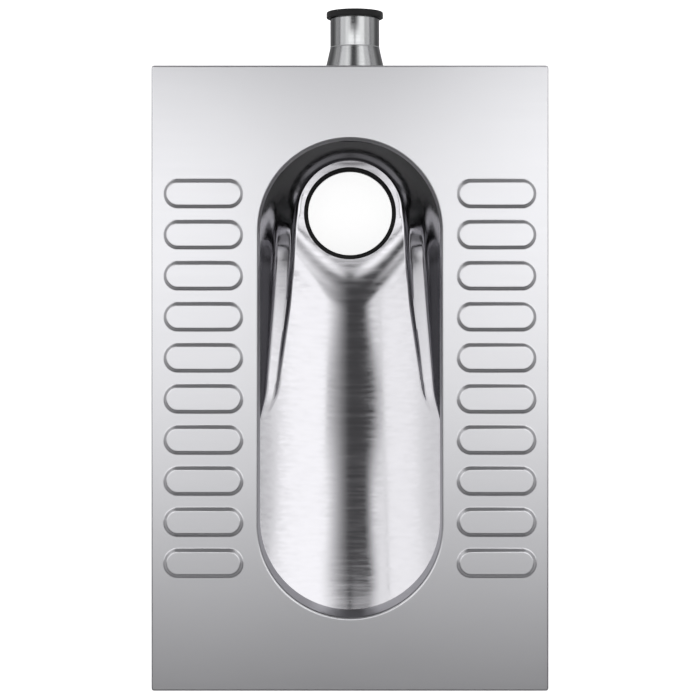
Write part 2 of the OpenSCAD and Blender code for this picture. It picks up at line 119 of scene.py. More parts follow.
class BowlSizes(bpy.types.PropertyGroup):
    sheet: length("Sheet", "Thickness of the bowl sheet", 1.2)
    channel: length("Channel", "Clear width of the flush channel round the collar", 11)
    flange: length("Flange", "Width of the flange under the deck", 12)
    shoulder: length("Shoulder", "Depth at which the upright wall turns in", 28)
    wall_fall: ratio("Wall fall", "Fall of the side walls over their run", 2.75)
    front_fall: ratio("Front fall", "Fall of the walls at the front over their run", 6)
    flush_slot: length("Flush slot", "Clear height under the collar at the front tip", 14.5)
    seat: length("Seat", "Depth of the level seat round the outlet", 157)
    trough: length("Trough", "Radius along the middle of the trough, at the rear", 105)
    trough_front: length("Trough front", "Radius along the middle of the trough, at the front", 122)
    trough_side: ratio("Trough side", "Slope that its sides tend to at the rear", 0.45)
    trough_front_side: ratio("Trough front side", "Slope that its sides tend to at the front", 0.6)
    seat_blend: length("Seat blend", "Size of the blend between the trough and the level seat", 5)
    blend: length("Blend", "Size of the blend between the walls and the floor", 2)
    foot_blend: length("Foot blend", "Size of the blend between the walls and the level seat", 9)
    fall_blend: length("Fall blend", "Size of the rounding where the trough ends on the seat", 9)


class OutletSizes(bpy.types.PropertyGroup):
    back: length("Back", "Distance of the outlet axis in front of the opening's rear edge", 75.5)
    outside: length("Outside", "Outside diameter of the outlet spigot", 101.6)
    wall: length("Wall", "Wall of the outlet spigot", 1.5)
    step: length("Step", "Step by which the spigot's top is drawn in", 0.8)
    backing: length("Backing", "Width of the backing ring", 6)
    backing_sheet: length("Backing sheet", "Thickness of the backing ring", 3)
    seal_wall: length("Seal wall", "Wall of the outlet's rubber seal", 1.6)
    seal_sleeve: length("Seal sleeve", "Height of the seal's sleeve", 14)
    seal_lip: length("Seal lip", "Thickness of the seal's lip", 2)


class InletSizes(bpy.types.PropertyGroup):
    offset: length("Offset", "Sideways offset of the flush inlet", 5)
    depth: length("Depth", "Depth of the flush inlet's axis below the deck's top face", 45)
    outside: length("Outside", "Outside diameter of the flush inlet tube", 50.8)
    wall: length("Wall", "Wall of the flush inlet tube", 1.2)
    reach: length("Reach", "Distance from the deck's rear edge to the end of the flush inlet", 60)
    straight: length("Straight", "Length of the plain tube", 37)
    neck: length("Neck", "Outside diameter of the reducer's neck", 76.2)
    neck_wall: length("Neck wall", "Wall of the reducer", 1.5)
    cone: bpy.props.FloatProperty(
        name="Cone", description="Half angle of the reducer's cone",
        default=math.radians(12.8), unit="ROTATION",
    )
    cuff_wall: length("Cuff wall", "Wall of the rubber cuff inside the tube", 1.6)
    cuff_ring: length("Cuff ring", "Wall of the cuff's ring outside the tube", 3.8)
    cuff_ring_length: length("Cuff ring length", "Length of the cuff's ring", 6.8)
    cuff_sleeve: length("Cuff sleeve", "Length of the cuff's sleeve", 22)


class UndersideSizes(bpy.types.PropertyGroup):
    rib: length("Rib", "Inside width of the ribs", 24)
    rib_foot: length("Rib foot", "Width of each foot of a rib", 6)
    rib_height: length("Rib height", "Height of a rib", 18)
    rib_sheet: length("Rib sheet", "Thickness of the rib sheet", 1.5)
    anchor_in: length("Anchor in", "Distance of the anchors from the ends of the deck", 95)
    anchor_width: length("Anchor width", "Width of an anchor strap", 25)
    anchor_sheet: length("Anchor sheet", "Thickness of an anchor strap", 2)
    anchor_depth: length("Anchor depth", "Depth of an anchor's foot", 95)
    anchor_foot: length("Anchor foot", "Length of an anchor's foot", 28)
    anchor_hole: length("Anchor hole", "Diameter of an anchor's bolt hole", 9)
    tab: length("Tab", "Width of the earthing tab", 18)
    tab_hole: length("Tab hole", "Diameter of the earthing tab's hole", 6.5)
    tab_hole_depth: length("Tab hole depth", "Depth of the tab's hole", 42)


class Finishes(bpy.types.PropertyGroup):
    sheet_steel: colour("Sheet steel", "Satin stainless steel of the deck", "#DCDCDF")
    bowl_steel: colour("Bowl steel", "Polished stainless steel of the bowl", "#D2D1D5")
    tube_steel: colour("Tube steel", "Plain stainless steel of the tubes", "#C2C3C4")
    mill_steel: colour("Mill steel", "Unpolished stainless steel of the stiffeners", "#B4B5B6")
    rubber: colour("Rubber", "Black rubber of the seals", "#0E0E0F")
    floor: colour("Floor", "Floor and backdrop", "#F4F4F4")


class StageSettings(bpy.types.PropertyGroup):
    camera_height: length("Camera height", "Height of the camera above the deck", 1500)
    camera_y: length("Camera place", "Place of the camera in front of the outlet", -19.8)
    lens: bpy.props.FloatProperty(
        name="Lens", description="Focal length in millimetres", default=76.65,
    )
    shift: bpy.props.FloatProperty(
        name="Shift", description="Lens shift that frames the pan", default=-0.17,
    )
    overhead: ratio("Overhead", "Brightness of the overhead lamp", 1.0)
    sides: ratio("Sides", "Brightness of the side lamps", 1.0)


class PanSettings(bpy.types.PropertyGroup):
    deck: bpy.props.PointerProperty(type=DeckSizes)
    treads: bpy.props.PointerProperty(type=TreadSizes)
    bowl: bpy.props.PointerProperty(type=BowlSizes)
    outlet: bpy.props.PointerProperty(type=OutletSizes)
    inlet: bpy.props.PointerProperty(type=InletSizes)
    underside: bpy.props.PointerProperty(type=UndersideSizes)
    finishes: bpy.props.PointerProperty(type=Finishes)
    stage: bpy.props.PointerProperty(type=StageSettings)


# ---------------------------------------------------------------- sizes that follow from those


class Plan:
    """Places and sizes that several pieces share, in metres, in the row frame."""

    def __init__(self, settings):
        deck, treads, bowl = settings.deck, settings.treads, settings.bowl
        outlet, inlet, under = settings.outlet, settings.inlet, settings.underside
        self.top = deck.top
        self.spine = (deck.mouth_length - deck.mouth_width) / 2
        self.collar_in = deck.mouth_width / 2 - deck.mouth_edge
        self.collar_out = self.collar_in + deck.sheet
        self.wall_r = self.collar_out + bowl.channel
        self.outlet_y = deck.mouth_length / 2 - outlet.back
        self.centre_y = -self.outlet_y
        self.spigot_r = outlet.outside / 2
        self.spigot_top_r = self.spigot_r - outlet.step
        self.hole_r = self.spigot_top_r + WELD_GAP
        self.seat_r = self.spigot_r + outlet.backing + 0.5 * MM  # the seat is level out to here
        self.base_r = self.seat_r + 2.5 * MM                     # foot of the rear walls
        self.seat_z = deck.top - bowl.seat
        self.inlet_z = deck.top - inlet.depth
        self.inlet_end = deck.length / 2 + inlet.reach + self.centre_y
        self.cuff_face = 1.5 * MM                                # rubber over the tube's end
        self.cone_small_y = self.inlet_end - inlet.straight
        cone_run = (inlet.neck - inlet.outside) / 2 / math.tan(inlet.cone)
        self.cone_big_y = self.cone_small_y - cone_run
        rear_lip_y = deck.length / 2 - deck.lip + self.centre_y
        cone_r = inlet.outside / 2 + (self.cone_small_y - rear_lip_y) * math.tan(inlet.cone)
        self.notch_r = cone_r + 2.5 * MM                         # the skirt's notch clears the cone
        self.tread_x = (deck.mouth_width / 2 + deck.width / 2) / 2
        self.rib_length = (treads.rows - 1) * treads.pitch + 2 * treads.width
        self.rib_half = under.rib / 2 + under.rib_foot
        inner = max(self.spine + self.wall_r + bowl.flange, self.rib_length / 2 + under.tab)
        self.end_rib_y = inner + self.rib_half + 1.5 * MM
        self.rear_rib_x = inlet.neck / 2 + inlet.offset + 8 * MM   # clear of the reducer
        self.rear_rib_length = deck.width / 2 - self.rear_rib_x - 28 * MM
        self.front_rib_length = deck.width - 120 * MM

    def rear_fall(self, bowl):
        """Fall of the bowl's rear wall over its run on the centre line."""
        run = self.spine + self.wall_r - self.outlet_y - self.base_r
        return (bowl.seat - bowl.shoulder) / run


class BowlShape:
    """Depth of the drawn bowl below the deck's top face; x and y are from the deck's centre."""

    # stretches along y over which something sets in: start behind the outlet, and length
    rear_walls = (-110 * MM, 90 * MM)   # the rear walls' fall
    straight = (-50 * MM, 95 * MM)      # straight walls in place of bent ones
    soft_foot = (-80 * MM, 80 * MM)     # the wide blend at the walls' foot
    steepen = (-0.15, 0.54)             # steeper side walls to the front, in spines from the middle
    # the bent wall's section, in shares of its run and of its depth
    upper_wall = 1.8                    # slope of the steep part
    band = (0.49, 0.882, 0.152)         # run, depth and slope of the flatter band
    band_blend = 0.165
    riser = (0.94, 0.97, 14.8, 0.89)    # start and end of the riser's bend, its bend and its slope
    foot_at = 0.7                       # the walls' foot, as a share of the bowl's half width

    def __init__(self, settings, plan):
        deck, bowl = settings.deck, settings.bowl
        self.plan, self.bowl = plan, bowl
        self.tip_y = -(plan.spine + plan.wall_r)
        fall = bowl.seat - deck.collar - bowl.flush_slot
        lead_fall = fall / (plan.outlet_y - 1.3 * plan.seat_r - self.tip_y)
        quarter = [math.radians(a) for a in range(0, 91, 3)]
        lead = max(
            plan.seat_r * math.cos(a)
            + (self.side_rise(plan.seat_r * math.sin(a), 0.0) + bowl.seat_blend) / lead_fall
            for a in quarter
        )
        self.fall_y = plan.outlet_y - lead
        self.slope = fall / (self.fall_y - self.tip_y)

    @staticmethod
    def ease(t):
        t = min(max(t, 0.0), 1.0)
        return t * t * (3 - 2 * t)

    @staticmethod
    def lower(a, b, k):
        """The smaller of a and b, with the change from one to the other rounded over k."""
        return min(a, b) - max(k - abs(a - b), 0.0) ** 2 / (4 * k)

    def side_rise(self, x, share):
        """Rise of the trough at a distance from its middle: round, then nearly straight."""
        bowl = self.bowl
        side = bowl.trough_side + (bowl.trough_front_side - bowl.trough_side) * share
        c = side * (bowl.trough + (bowl.trough_front - bowl.trough) * share)
        return side * (math.hypot(x, c) - c)

    def floor(self, x, y):
        """The trough, which falls straight until it meets the level seat."""
        share = min(max((self.fall_y - y) / (self.fall_y + self.plan.spine), 0.0), 1.0)
        trough = self.bowl.seat - self.slope * (self.fall_y - y) - self.side_rise(x, share)
        return self.lower(trough, self.bowl.seat, self.bowl.fall_blend)

    def ray(self, a):
        """Distance from the outlet axis to the upright wall, at an angle from the rear."""
        lead = self.plan.outlet_y - self.plan.spine
        b = lead * math.cos(a)
        return -b + math.sqrt(b * b - lead * lead + self.plan.wall_r ** 2)

    def toward_rear(self, y, place):
        """Eased share of the way through a stretch: its start behind the outlet, and length."""
        start, stretch = place
        return self.ease((y - self.plan.outlet_y - start) / stretch)

    def side_fall(self, y):
        """Fall of the side walls over their run, which grows to the front."""
        spine, (start, stretch) = self.plan.spine, self.steepen
        share = self.ease((start * spine - y) / (stretch * spine))
        return self.bowl.wall_fall + (self.bowl.front_fall - self.bowl.wall_fall) * share

    def fall_at(self, x, y):
        """Fall of the walls over their run: the sides', and behind the outlet the rear wall's."""
        angle = math.atan2(abs(x), max(y - self.plan.outlet_y, 0.0))
        rear = (self.bowl.seat - self.bowl.shoulder) / (self.ray(angle) - self.plan.base_r)
        side = self.side_fall(y)
        return side + (rear - side) * self.toward_rear(y, self.rear_walls)

    def run_in(self, x, y):
        """Distance in from the upright wall."""
        plan = self.plan
        if y > plan.outlet_y:
            behind = y - plan.outlet_y
            return self.ray(math.atan2(abs(x), behind)) - math.hypot(x, behind)
        if y > plan.spine:
            return math.sqrt(plan.wall_r ** 2 - (y - plan.spine) ** 2) - abs(x)
        if y < -plan.spine:
            return plan.wall_r - math.hypot(x, y + plan.spine)
        return plan.wall_r - abs(x)

    def wall_share(self, t):
        """Share of its depth that the wall has at a share of its run: steep, flat, then a riser."""
        run, reached, slope = self.band
        start, end, bend, riser_slope = self.riser
        riser = bend * min(max(t - start, 0.0), end - start) ** 2 + riser_slope * max(t - end, 0.0)
        return self.lower(self.upper_wall * t, reached + slope * (t - run), self.band_blend) + riser

    def wall(self, x, y):
        """Depth of the wall, which is straight behind the outlet."""
        bent = 1 - self.toward_rear(y, self.straight)
        foot = self.floor(self.foot_at * self.plan.wall_r, y) - self.bowl.shoulder
        t = max(self.run_in(x, y), 0.0) * self.fall_at(x, y) / foot
        return self.bowl.shoulder + foot * (t + (self.wall_share(t) - t) * bent)

    def depth(self, x, y):
        """Depth of the floor or the wall, whichever is less, with the turn between them rounded."""
        bowl = self.bowl
        blend = bowl.blend * self.fall_at(x, y) / self.side_fall(y)
        blend += (bowl.foot_blend - blend) * self.toward_rear(y, self.soft_foot)
        return self.lower(self.floor(x, y), self.wall(x, y), blend)


# ---------------------------------------------------------------- modelling steps


def select_only(piece):
    bpy.ops.object.select_all(action="DESELECT")
    piece.select_set(True)
    bpy.context.view_layer.objects.active = piece


def settle(piece, name):
    """Names a new primitive and puts its place into its mesh."""
    piece.name = name
    piece.data.name = name
    select_only(piece)
    bpy.ops.object.transform_apply(location=True, rotation=True, scale=True)
    return piece


def cylinder(name, radius, depth, location, rotation=(0, 0, 0), vertices=48):
    """A closed cylinder along Z, unless it is rotated."""
    bpy.ops.object.select_all(action="DESELECT")
    bpy.ops.mesh.primitive_cylinder_add(
        vertices=vertices, radius=radius, depth=depth, location=location, rotation=rotation,
    )
    return settle(bpy.context.active_object, name)


def edit(piece):
    """Opens a piece in edit mode with nothing selected, and returns its mesh."""
    select_only(piece)
    bpy.ops.object.mode_set(mode="EDIT")
    bpy.ops.mesh.select_all(action="DESELECT")
    return bmesh.from_edit_mesh(piece.data)


def select_parts(piece, kind, test):
    """Selects the vertices, edges or faces of a piece in edit mode that pass the test."""
    bpy.ops.mesh.select_mode(type=kind)
    bpy.ops.mesh.select_all(action="DESELECT")
    mesh = bmesh.from_edit_mesh(piece.data)
    for part in {"VERT": mesh.verts, "EDGE": mesh.edges, "FACE": mesh.faces}[kind]:
        part.select_set(test(part))
    bmesh.update_edit_mesh(piece.data)


def move_edges(travel):
    """Extrudes the selected edges along a vector."""
    bpy.ops.mesh.extrude_edges_move(TRANSFORM_OT_translate={"value": Vector(travel)})


def normals_out():
    """Turns the normals of the mesh in edit mode outwards."""
    bpy.ops.mesh.select_all(action="SELECT")
    bpy.ops.mesh.normals_make_consistent(inside=False)


def close_edit():
    bpy.ops.object.mode_set(mode="OBJECT")


def apply_modifier(piece, kind, **settings):
    """Adds a modifier with its settings and applies it."""
    select_only(piece)
    modifier = piece.modifiers.new(kind.title(), kind)
    for key, value in settings.items():
        setattr(modifier, key, value)
    bpy.ops.object.modifier_apply(modifier=modifier.name)


def cut(piece, cutter):
    """Cuts the cutter's shape out of a piece and removes the cutter."""
    apply_modifier(piece, "BOOLEAN", operation="DIFFERENCE", object=cutter, solver="EXACT")
    bpy.data.objects.remove(cutter, do_unlink=True)


def face_up(piece):
    """Turns an open sheet's faces over if more of them look down than up."""
    if sum(face.area * face.normal.z for face in piece.data.polygons) < 0:
        piece.data.flip_normals()


def join(piece, others):
    """Joins other objects into a piece."""
    bpy.ops.object.select_all(action="DESELECT")
    for other in others:
        other.select_set(True)
    piece.select_set(True)
    bpy.context.view_layer.objects.active = piece
    bpy.ops.object.join()


def rounded(corners, closed=True, steps=4):
    """Points of a profile whose corners, each (across, along, radius), are drawn as arcs."""
    with_next, alone = 0.49, 0.98   # most of a leg that an arc takes, beside another arc or alone
    points = []
    for i, (across, along, radius) in enumerate(corners):
        here = Vector((across, along))
        if radius <= 0 or (not closed and i in (0, len(corners) - 1)):
            points.append(here)
            continue
        back = Vector(corners[i - 1][:2]) - here
        ahead = Vector(corners[(i + 1) % len(corners)][:2]) - here
        half = back.angle(ahead) / 2
        room = [
            leg.length * (with_next if corners[j % len(corners)][2] > 0 else alone)
            for leg, j in ((back, i - 1), (ahead, i + 1))
        ]
        reach = min(radius / math.tan(half), *room)
        r = reach * math.tan(half)
        centre = here + (back.normalized() + ahead.normalized()).normalized() * (r / math.sin(half))
        spoke = here + back.normalized() * reach - centre
        last = here + ahead.normalized() * reach - centre
        turn = spoke.angle_signed(last)
        for k in range(steps + 1):
            a = -turn * k / steps
            turned_spoke = Vector((
                spoke.x * math.cos(a) - spoke.y * math.sin(a),
                spoke.x * math.sin(a) + spoke.y * math.cos(a),
            ))
            points.append(centre + turned_spoke)
    return points


def turned(name, centre, axis, corners, segments=128):
    """A ring or tube turned about "Y" or "Z": its profile is (radius, along, corner radius)."""
    profile = rounded(corners)
    on_y = axis == "Y"
    step = Vector((0, 1, 0)) if on_y else Vector(UP)
    centre = Vector(centre)
    bpy.ops.object.select_all(action="DESELECT")
    bpy.ops.mesh.primitive_circle_add(
        vertices=segments, radius=profile[0].x, location=centre + step * profile[0].y,
        rotation=ON_Y if on_y else (0, 0, 0),
    )
    piece = settle(bpy.context.active_object, name)
    edit(piece)
    bpy.ops.mesh.select_all(action="SELECT")
    for a, b in zip(profile, profile[1:]):
        move_edges(step * (b.y - a.y))
        grow = b.x / a.x
        bpy.ops.transform.resize(
            value=(grow, 1, grow) if on_y else (grow, grow, 1), center_override=centre + step * b.y,
        )
    select_parts(piece, "EDGE", lambda edge: edge.is_boundary)
    bpy.ops.mesh.bridge_edge_loops()
    normals_out()
    close_edit()
    return piece


def chain(name, points):
    """A line of points, drawn by extruding one vertex, left in edit mode and selected."""
    bpy.ops.object.select_all(action="DESELECT")
    bpy.ops.mesh.primitive_plane_add(size=MM, location=points[0])
    piece = settle(bpy.context.active_object, name)
    edit(piece)
    bpy.ops.mesh.select_mode(type="VERT")
    bpy.ops.mesh.select_all(action="SELECT")
    bpy.ops.mesh.merge(type="CENTER")
    for a, b in zip(points, points[1:]):
        bpy.ops.mesh.extrude_vertices_move(TRANSFORM_OT_translate={"value": b - a})
    bpy.ops.mesh.select_all(action="SELECT")
    return piece


def bent_sheet(name, profile, travel, thickness, offset=-1.0):
    """A bent strip: a line of points carried along the travel vector and given its thickness."""
    piece = chain(name, profile)
    move_edges(travel)
    close_edit()
    apply_modifier(piece, "SOLIDIFY", thickness=thickness, offset=offset, use_even_offset=True)
    edit(piece)
    normals_out()
    close_edit()
    return piece


def round_the_mouth(name, profile, plan):
    """Carries a profile of (distance from the spine, height) round the opening's outline."""
    front_y = plan.centre_y - plan.spine
    piece = chain(name, [Vector((p.x, front_y, p.y)) for p in profile])
    for side in (1, -1):
        move_edges((0, side * 2 * plan.spine, 0))
        end_y = plan.centre_y + side * plan.spine
        bpy.ops.mesh.spin(steps=72, angle=-math.pi, center=(0, end_y, 0), axis=UP)
    bpy.ops.mesh.select_all(action="SELECT")
    bpy.ops.mesh.remove_doubles(threshold=0.02 * MM)
    close_edit()
    return piece


def bead(name, path, radius):
    """A weld bead: a round line along a closed path whose thickness ripples as a weld's does."""
    ripple, waver = 3.0 * MM, 7.3 * MM
    curve = bpy.data.curves.new(name, "CURVE")
    curve.dimensions = "3D"
    curve.bevel_depth = radius
    curve.bevel_resolution = 3
    curve.use_fill_caps = False
    spline = curve.splines.new("POLY")
    spline.points.add(len(path) - 1)
    spline.use_cyclic_u = True
    gone = 0.0
    for i, (point, spot) in enumerate(zip(spline.points, path)):
        gone += (spot - path[i - 1]).length if i else 0.0
        point.co = (*spot, 1)
        wave = abs(math.sin(math.pi * gone / ripple))
        point.radius = 0.86 + 0.14 * wave + 0.05 * math.sin(gone / waver)
    piece = bpy.data.objects.new(name, curve)
    bpy.context.scene.collection.objects.link(piece)
    select_only(piece)
    bpy.ops.object.convert(target="MESH")
    return bpy.context.active_object


def circle_path(centre, radius, axis="Z"):
    """Points 0.8 mm apart round a circle about "Y" or "Z"."""
    count = int(2 * math.pi * radius / (0.8 * MM))
    path = []
    for i in range(count):
        a = 2 * math.pi * i / count
        u, v = radius * math.cos(a), radius * math.sin(a)
        path.append(Vector(centre) + Vector((u, v, 0) if axis == "Z" else (u, 0, v)))
    return path


def finish_piece(piece, material, slot, *nodes, smooth=35.0):
    """Shades a piece, gives it its material and body, and hides the CAD nodes it stands for."""
    select_only(piece)
    bpy.ops.object.shade_smooth_by_angle(angle=math.radians(smooth))
    piece.data.materials.clear()
    piece.data.materials.append(material)
    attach(piece, "root")
    if nodes:
        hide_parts(*nodes)


# ---------------------------------------------------------------- materials


def node(tree, kind, inputs=None, **settings):
    """Adds a node with its settings; an input is given a value or another node's output."""
    made = tree.nodes.new(kind)
    for key, value in settings.items():
        setattr(made, key, value)
    for key, value in (inputs or {}).items():
        if isinstance(value, bpy.types.NodeSocket):
            tree.links.new(value, made.inputs[key])
        else:
            made.inputs[key].default_value = value
    return made


def new_material(name):
    """An empty node material with its output, or None if it is already made."""
    if name in bpy.data.materials:
        return bpy.data.materials[name], None
    material = bpy.data.materials.new(name)
    material.use_nodes = True
    material.node_tree.nodes.clear()
    return material, material.node_tree


def rgba(value):
    return (*value[:3], 1.0)


def ramp(tree, value, low, high, start, end, smooth=False):
    """The value's place between low and high, laid between start and end and held there."""
    return node(tree, "ShaderNodeMapRange", {
        "Value": value, "From Min": low, "From Max": high, "To Min": start, "To Max": end,
    }, interpolation_type="SMOOTHSTEP" if smooth else "LINEAR").outputs["Result"]


def combine(tree, operation, a, b=0.0):
    """A sum, product or other result of one or two numbers."""
    return node(tree, "ShaderNodeMath", {0: a, 1: b}, operation=operation).outputs[0]


def noise(tree, place, scale, detail, roughness=0.5):
    return node(tree, "ShaderNodeTexNoise", {
        "Vector": place, "Scale": scale, "Detail": detail, "Roughness": roughness,
    }).outputs["Fac"]


def bump(tree, height, distance, strength=1.0, **under):
    return node(tree, "ShaderNodeBump", {
        "Height": height, "Strength": strength, "Distance": distance, **under,
    }).outputs["Normal"]


def mixed(tree, share, a, b):
    return node(tree, "ShaderNodeMix", {
        "Factor": share, "A": rgba(a), "B": rgba(b),
    }, data_type="RGBA").outputs["Result"]


def steel(name, base, gloss, grain, cloud, painted_slope_shade=None):
    """Stainless steel with a fine grain along X, patchy gloss and a slightly uneven sheet.

    gloss is the roughness and its spread, grain the scale of the grain lines and their height, and
    cloud the scale of the sheet's unevenness and its height. The last argument paints shade: the
    brightness left where the sheet slopes, then the upright part of the normal at which that painted
    shade starts and is full, and at which it starts to end and is over.
    """
    material, tree = new_material(name)
    if tree is None:
        return material
    rough, spread = gloss
    place = node(tree, "ShaderNodeTexCoord").outputs["Object"]
    stretched = node(tree, "ShaderNodeMapping", {"Vector": place, "Scale": grain[0]})
    lines = noise(tree, stretched.outputs["Vector"], 1.0, 4.0, 0.6)
    clouds = noise(tree, place, cloud[0], 3.0)
    tone = mixed(tree, clouds, [c * 0.96 for c in base], [min(c * 1.04, 1.0) for c in base])
    # painted shade: the colour is darkened by how far the normal tilts from upright
    if painted_slope_shade:
        left, start, full, ending, over = painted_slope_shade
        facing = node(tree, "ShaderNodeNewGeometry").outputs["Normal"]
        up = node(tree, "ShaderNodeSeparateXYZ", {"Vector": facing}).outputs["Z"]
        onset = ramp(tree, up, start, full, 1.0, left)
        end = ramp(tree, up, ending, over, left, 1.0)
        tone = node(tree, "ShaderNodeVectorMath", {
            0: tone, "Scale": combine(tree, "MAXIMUM", onset, end),
        }, operation="SCALE").outputs["Vector"]
    uneven = bump(tree, clouds, cloud[1])
    shader = node(tree, "ShaderNodeBsdfPrincipled", {
        "Base Color": tone, "Metallic": 1.0, "Specular Tint": EDGE_TINT,
        "Roughness": ramp(tree, lines, 0.3, 0.7, rough - spread, rough + spread),
        "Normal": bump(tree, lines, grain[1], Normal=uneven),
    })
    node(tree, "ShaderNodeOutputMaterial", {"Surface": shader.outputs["BSDF"]})
    return material


def satin_sheet(settings):
    """Stainless sheet with a satin grain along X: soft wide highlights, treads outlined in painted
    shade.
    """
    return steel(
        "satin_stainless_sheet", settings.finishes.sheet_steel, gloss=(0.295, 0.018),
        grain=((9, 700, 700), 0.0025 * MM), cloud=(6.0, 0.05 * MM),
        # painted shade: tilted faces darken to 0.7 of the steel's brightness, down-facing ones do
        # not
        painted_slope_shade=(0.7, 0.985, 0.85, -0.5, -0.9),
    )


def polished_sheet(settings):
    """Drawn stainless polished after pressing: near-mirror, broken by fine lines along X, painted
    shade on steep walls.
    """
    return steel(
        "polished_stainless_bowl", settings.finishes.bowl_steel, gloss=(0.13, 0.05),
        grain=((12, 240, 240), 0.012 * MM), cloud=(9.0, 0.05 * MM),
        # painted shade: steep walls darken to 0.42 of the steel's brightness, upright ones do not
        painted_slope_shade=(0.42, 0.6, 0.42, 0.12, 0.02),
    )


def plain_tube(settings):
    """Welded stainless tube as drawn: semi-bright, faint lines round it, painted shade down its
    flanks.
    """
    return steel(
        "plain_stainless_tube", settings.finishes.tube_steel, gloss=(0.2, 0.05),
        grain=((60, 900, 60), 0.004 * MM), cloud=(25.0, 0.03 * MM),
        # painted shade: faces tilted far from upright darken to 0.18 of the steel's brightness
        painted_slope_shade=(0.18, 0.9, 0.52, 0.1, 0.0),
    )


def mill_sheet(settings):
    """Stainless sheet as rolled: grey, cloudy and hardly reflecting."""
    return steel(
        "mill_finish_stainless", settings.finishes.mill_steel, gloss=(0.42, 0.08),
        grain=((30, 500, 500), 0.005 * MM), cloud=(40.0, 0.06 * MM),
    )


def welded_steel(settings):
    """Brushed weld metal: duller and rougher than the sheets that it joins."""
    return steel(
        "brushed_stainless_weld", settings.finishes.mill_steel, gloss=(0.36, 0.08),
        grain=((700, 700, 700), 0.02 * MM), cloud=(90.0, 0.05 * MM),
    )


def seal_rubber(settings):
    """Moulded EPDM rubber: near-black and matt, with a fine dusty grain."""
    material, tree = new_material("moulded_epdm_rubber")
    if tree is None:
        return material
    base = settings.finishes.rubber
    place = node(tree, "ShaderNodeTexCoord").outputs["Object"]
    grain = noise(tree, place, 900.0, 3.0, 0.6)
    bloom = noise(tree, place, 60.0, 4.0, 0.6)
    shader = node(tree, "ShaderNodeBsdfPrincipled", {
        "Base Color": mixed(tree, bloom, base, [c * 1.9 for c in base]),
        "Roughness": ramp(tree, bloom, 0.3, 0.7, 0.5, 0.64), "Specular IOR Level": 0.35,
        "Normal": bump(tree, grain, 0.03 * MM, strength=0.6),
    })
    node(tree, "ShaderNodeOutputMaterial", {"Surface": shader.outputs["BSDF"]})
    return material


# ---------------------------------------------------------------- operators, one for each piece


class PanOperator:
    """What every operator here shares: the settings and the sizes that follow from them."""

    bl_options = {"REGISTER", "UNDO"}

    def execute(self, context):
        settings = context.scene.squatting_pan
        self.build(settings, Plan(settings))
        return {"FINISHED"}


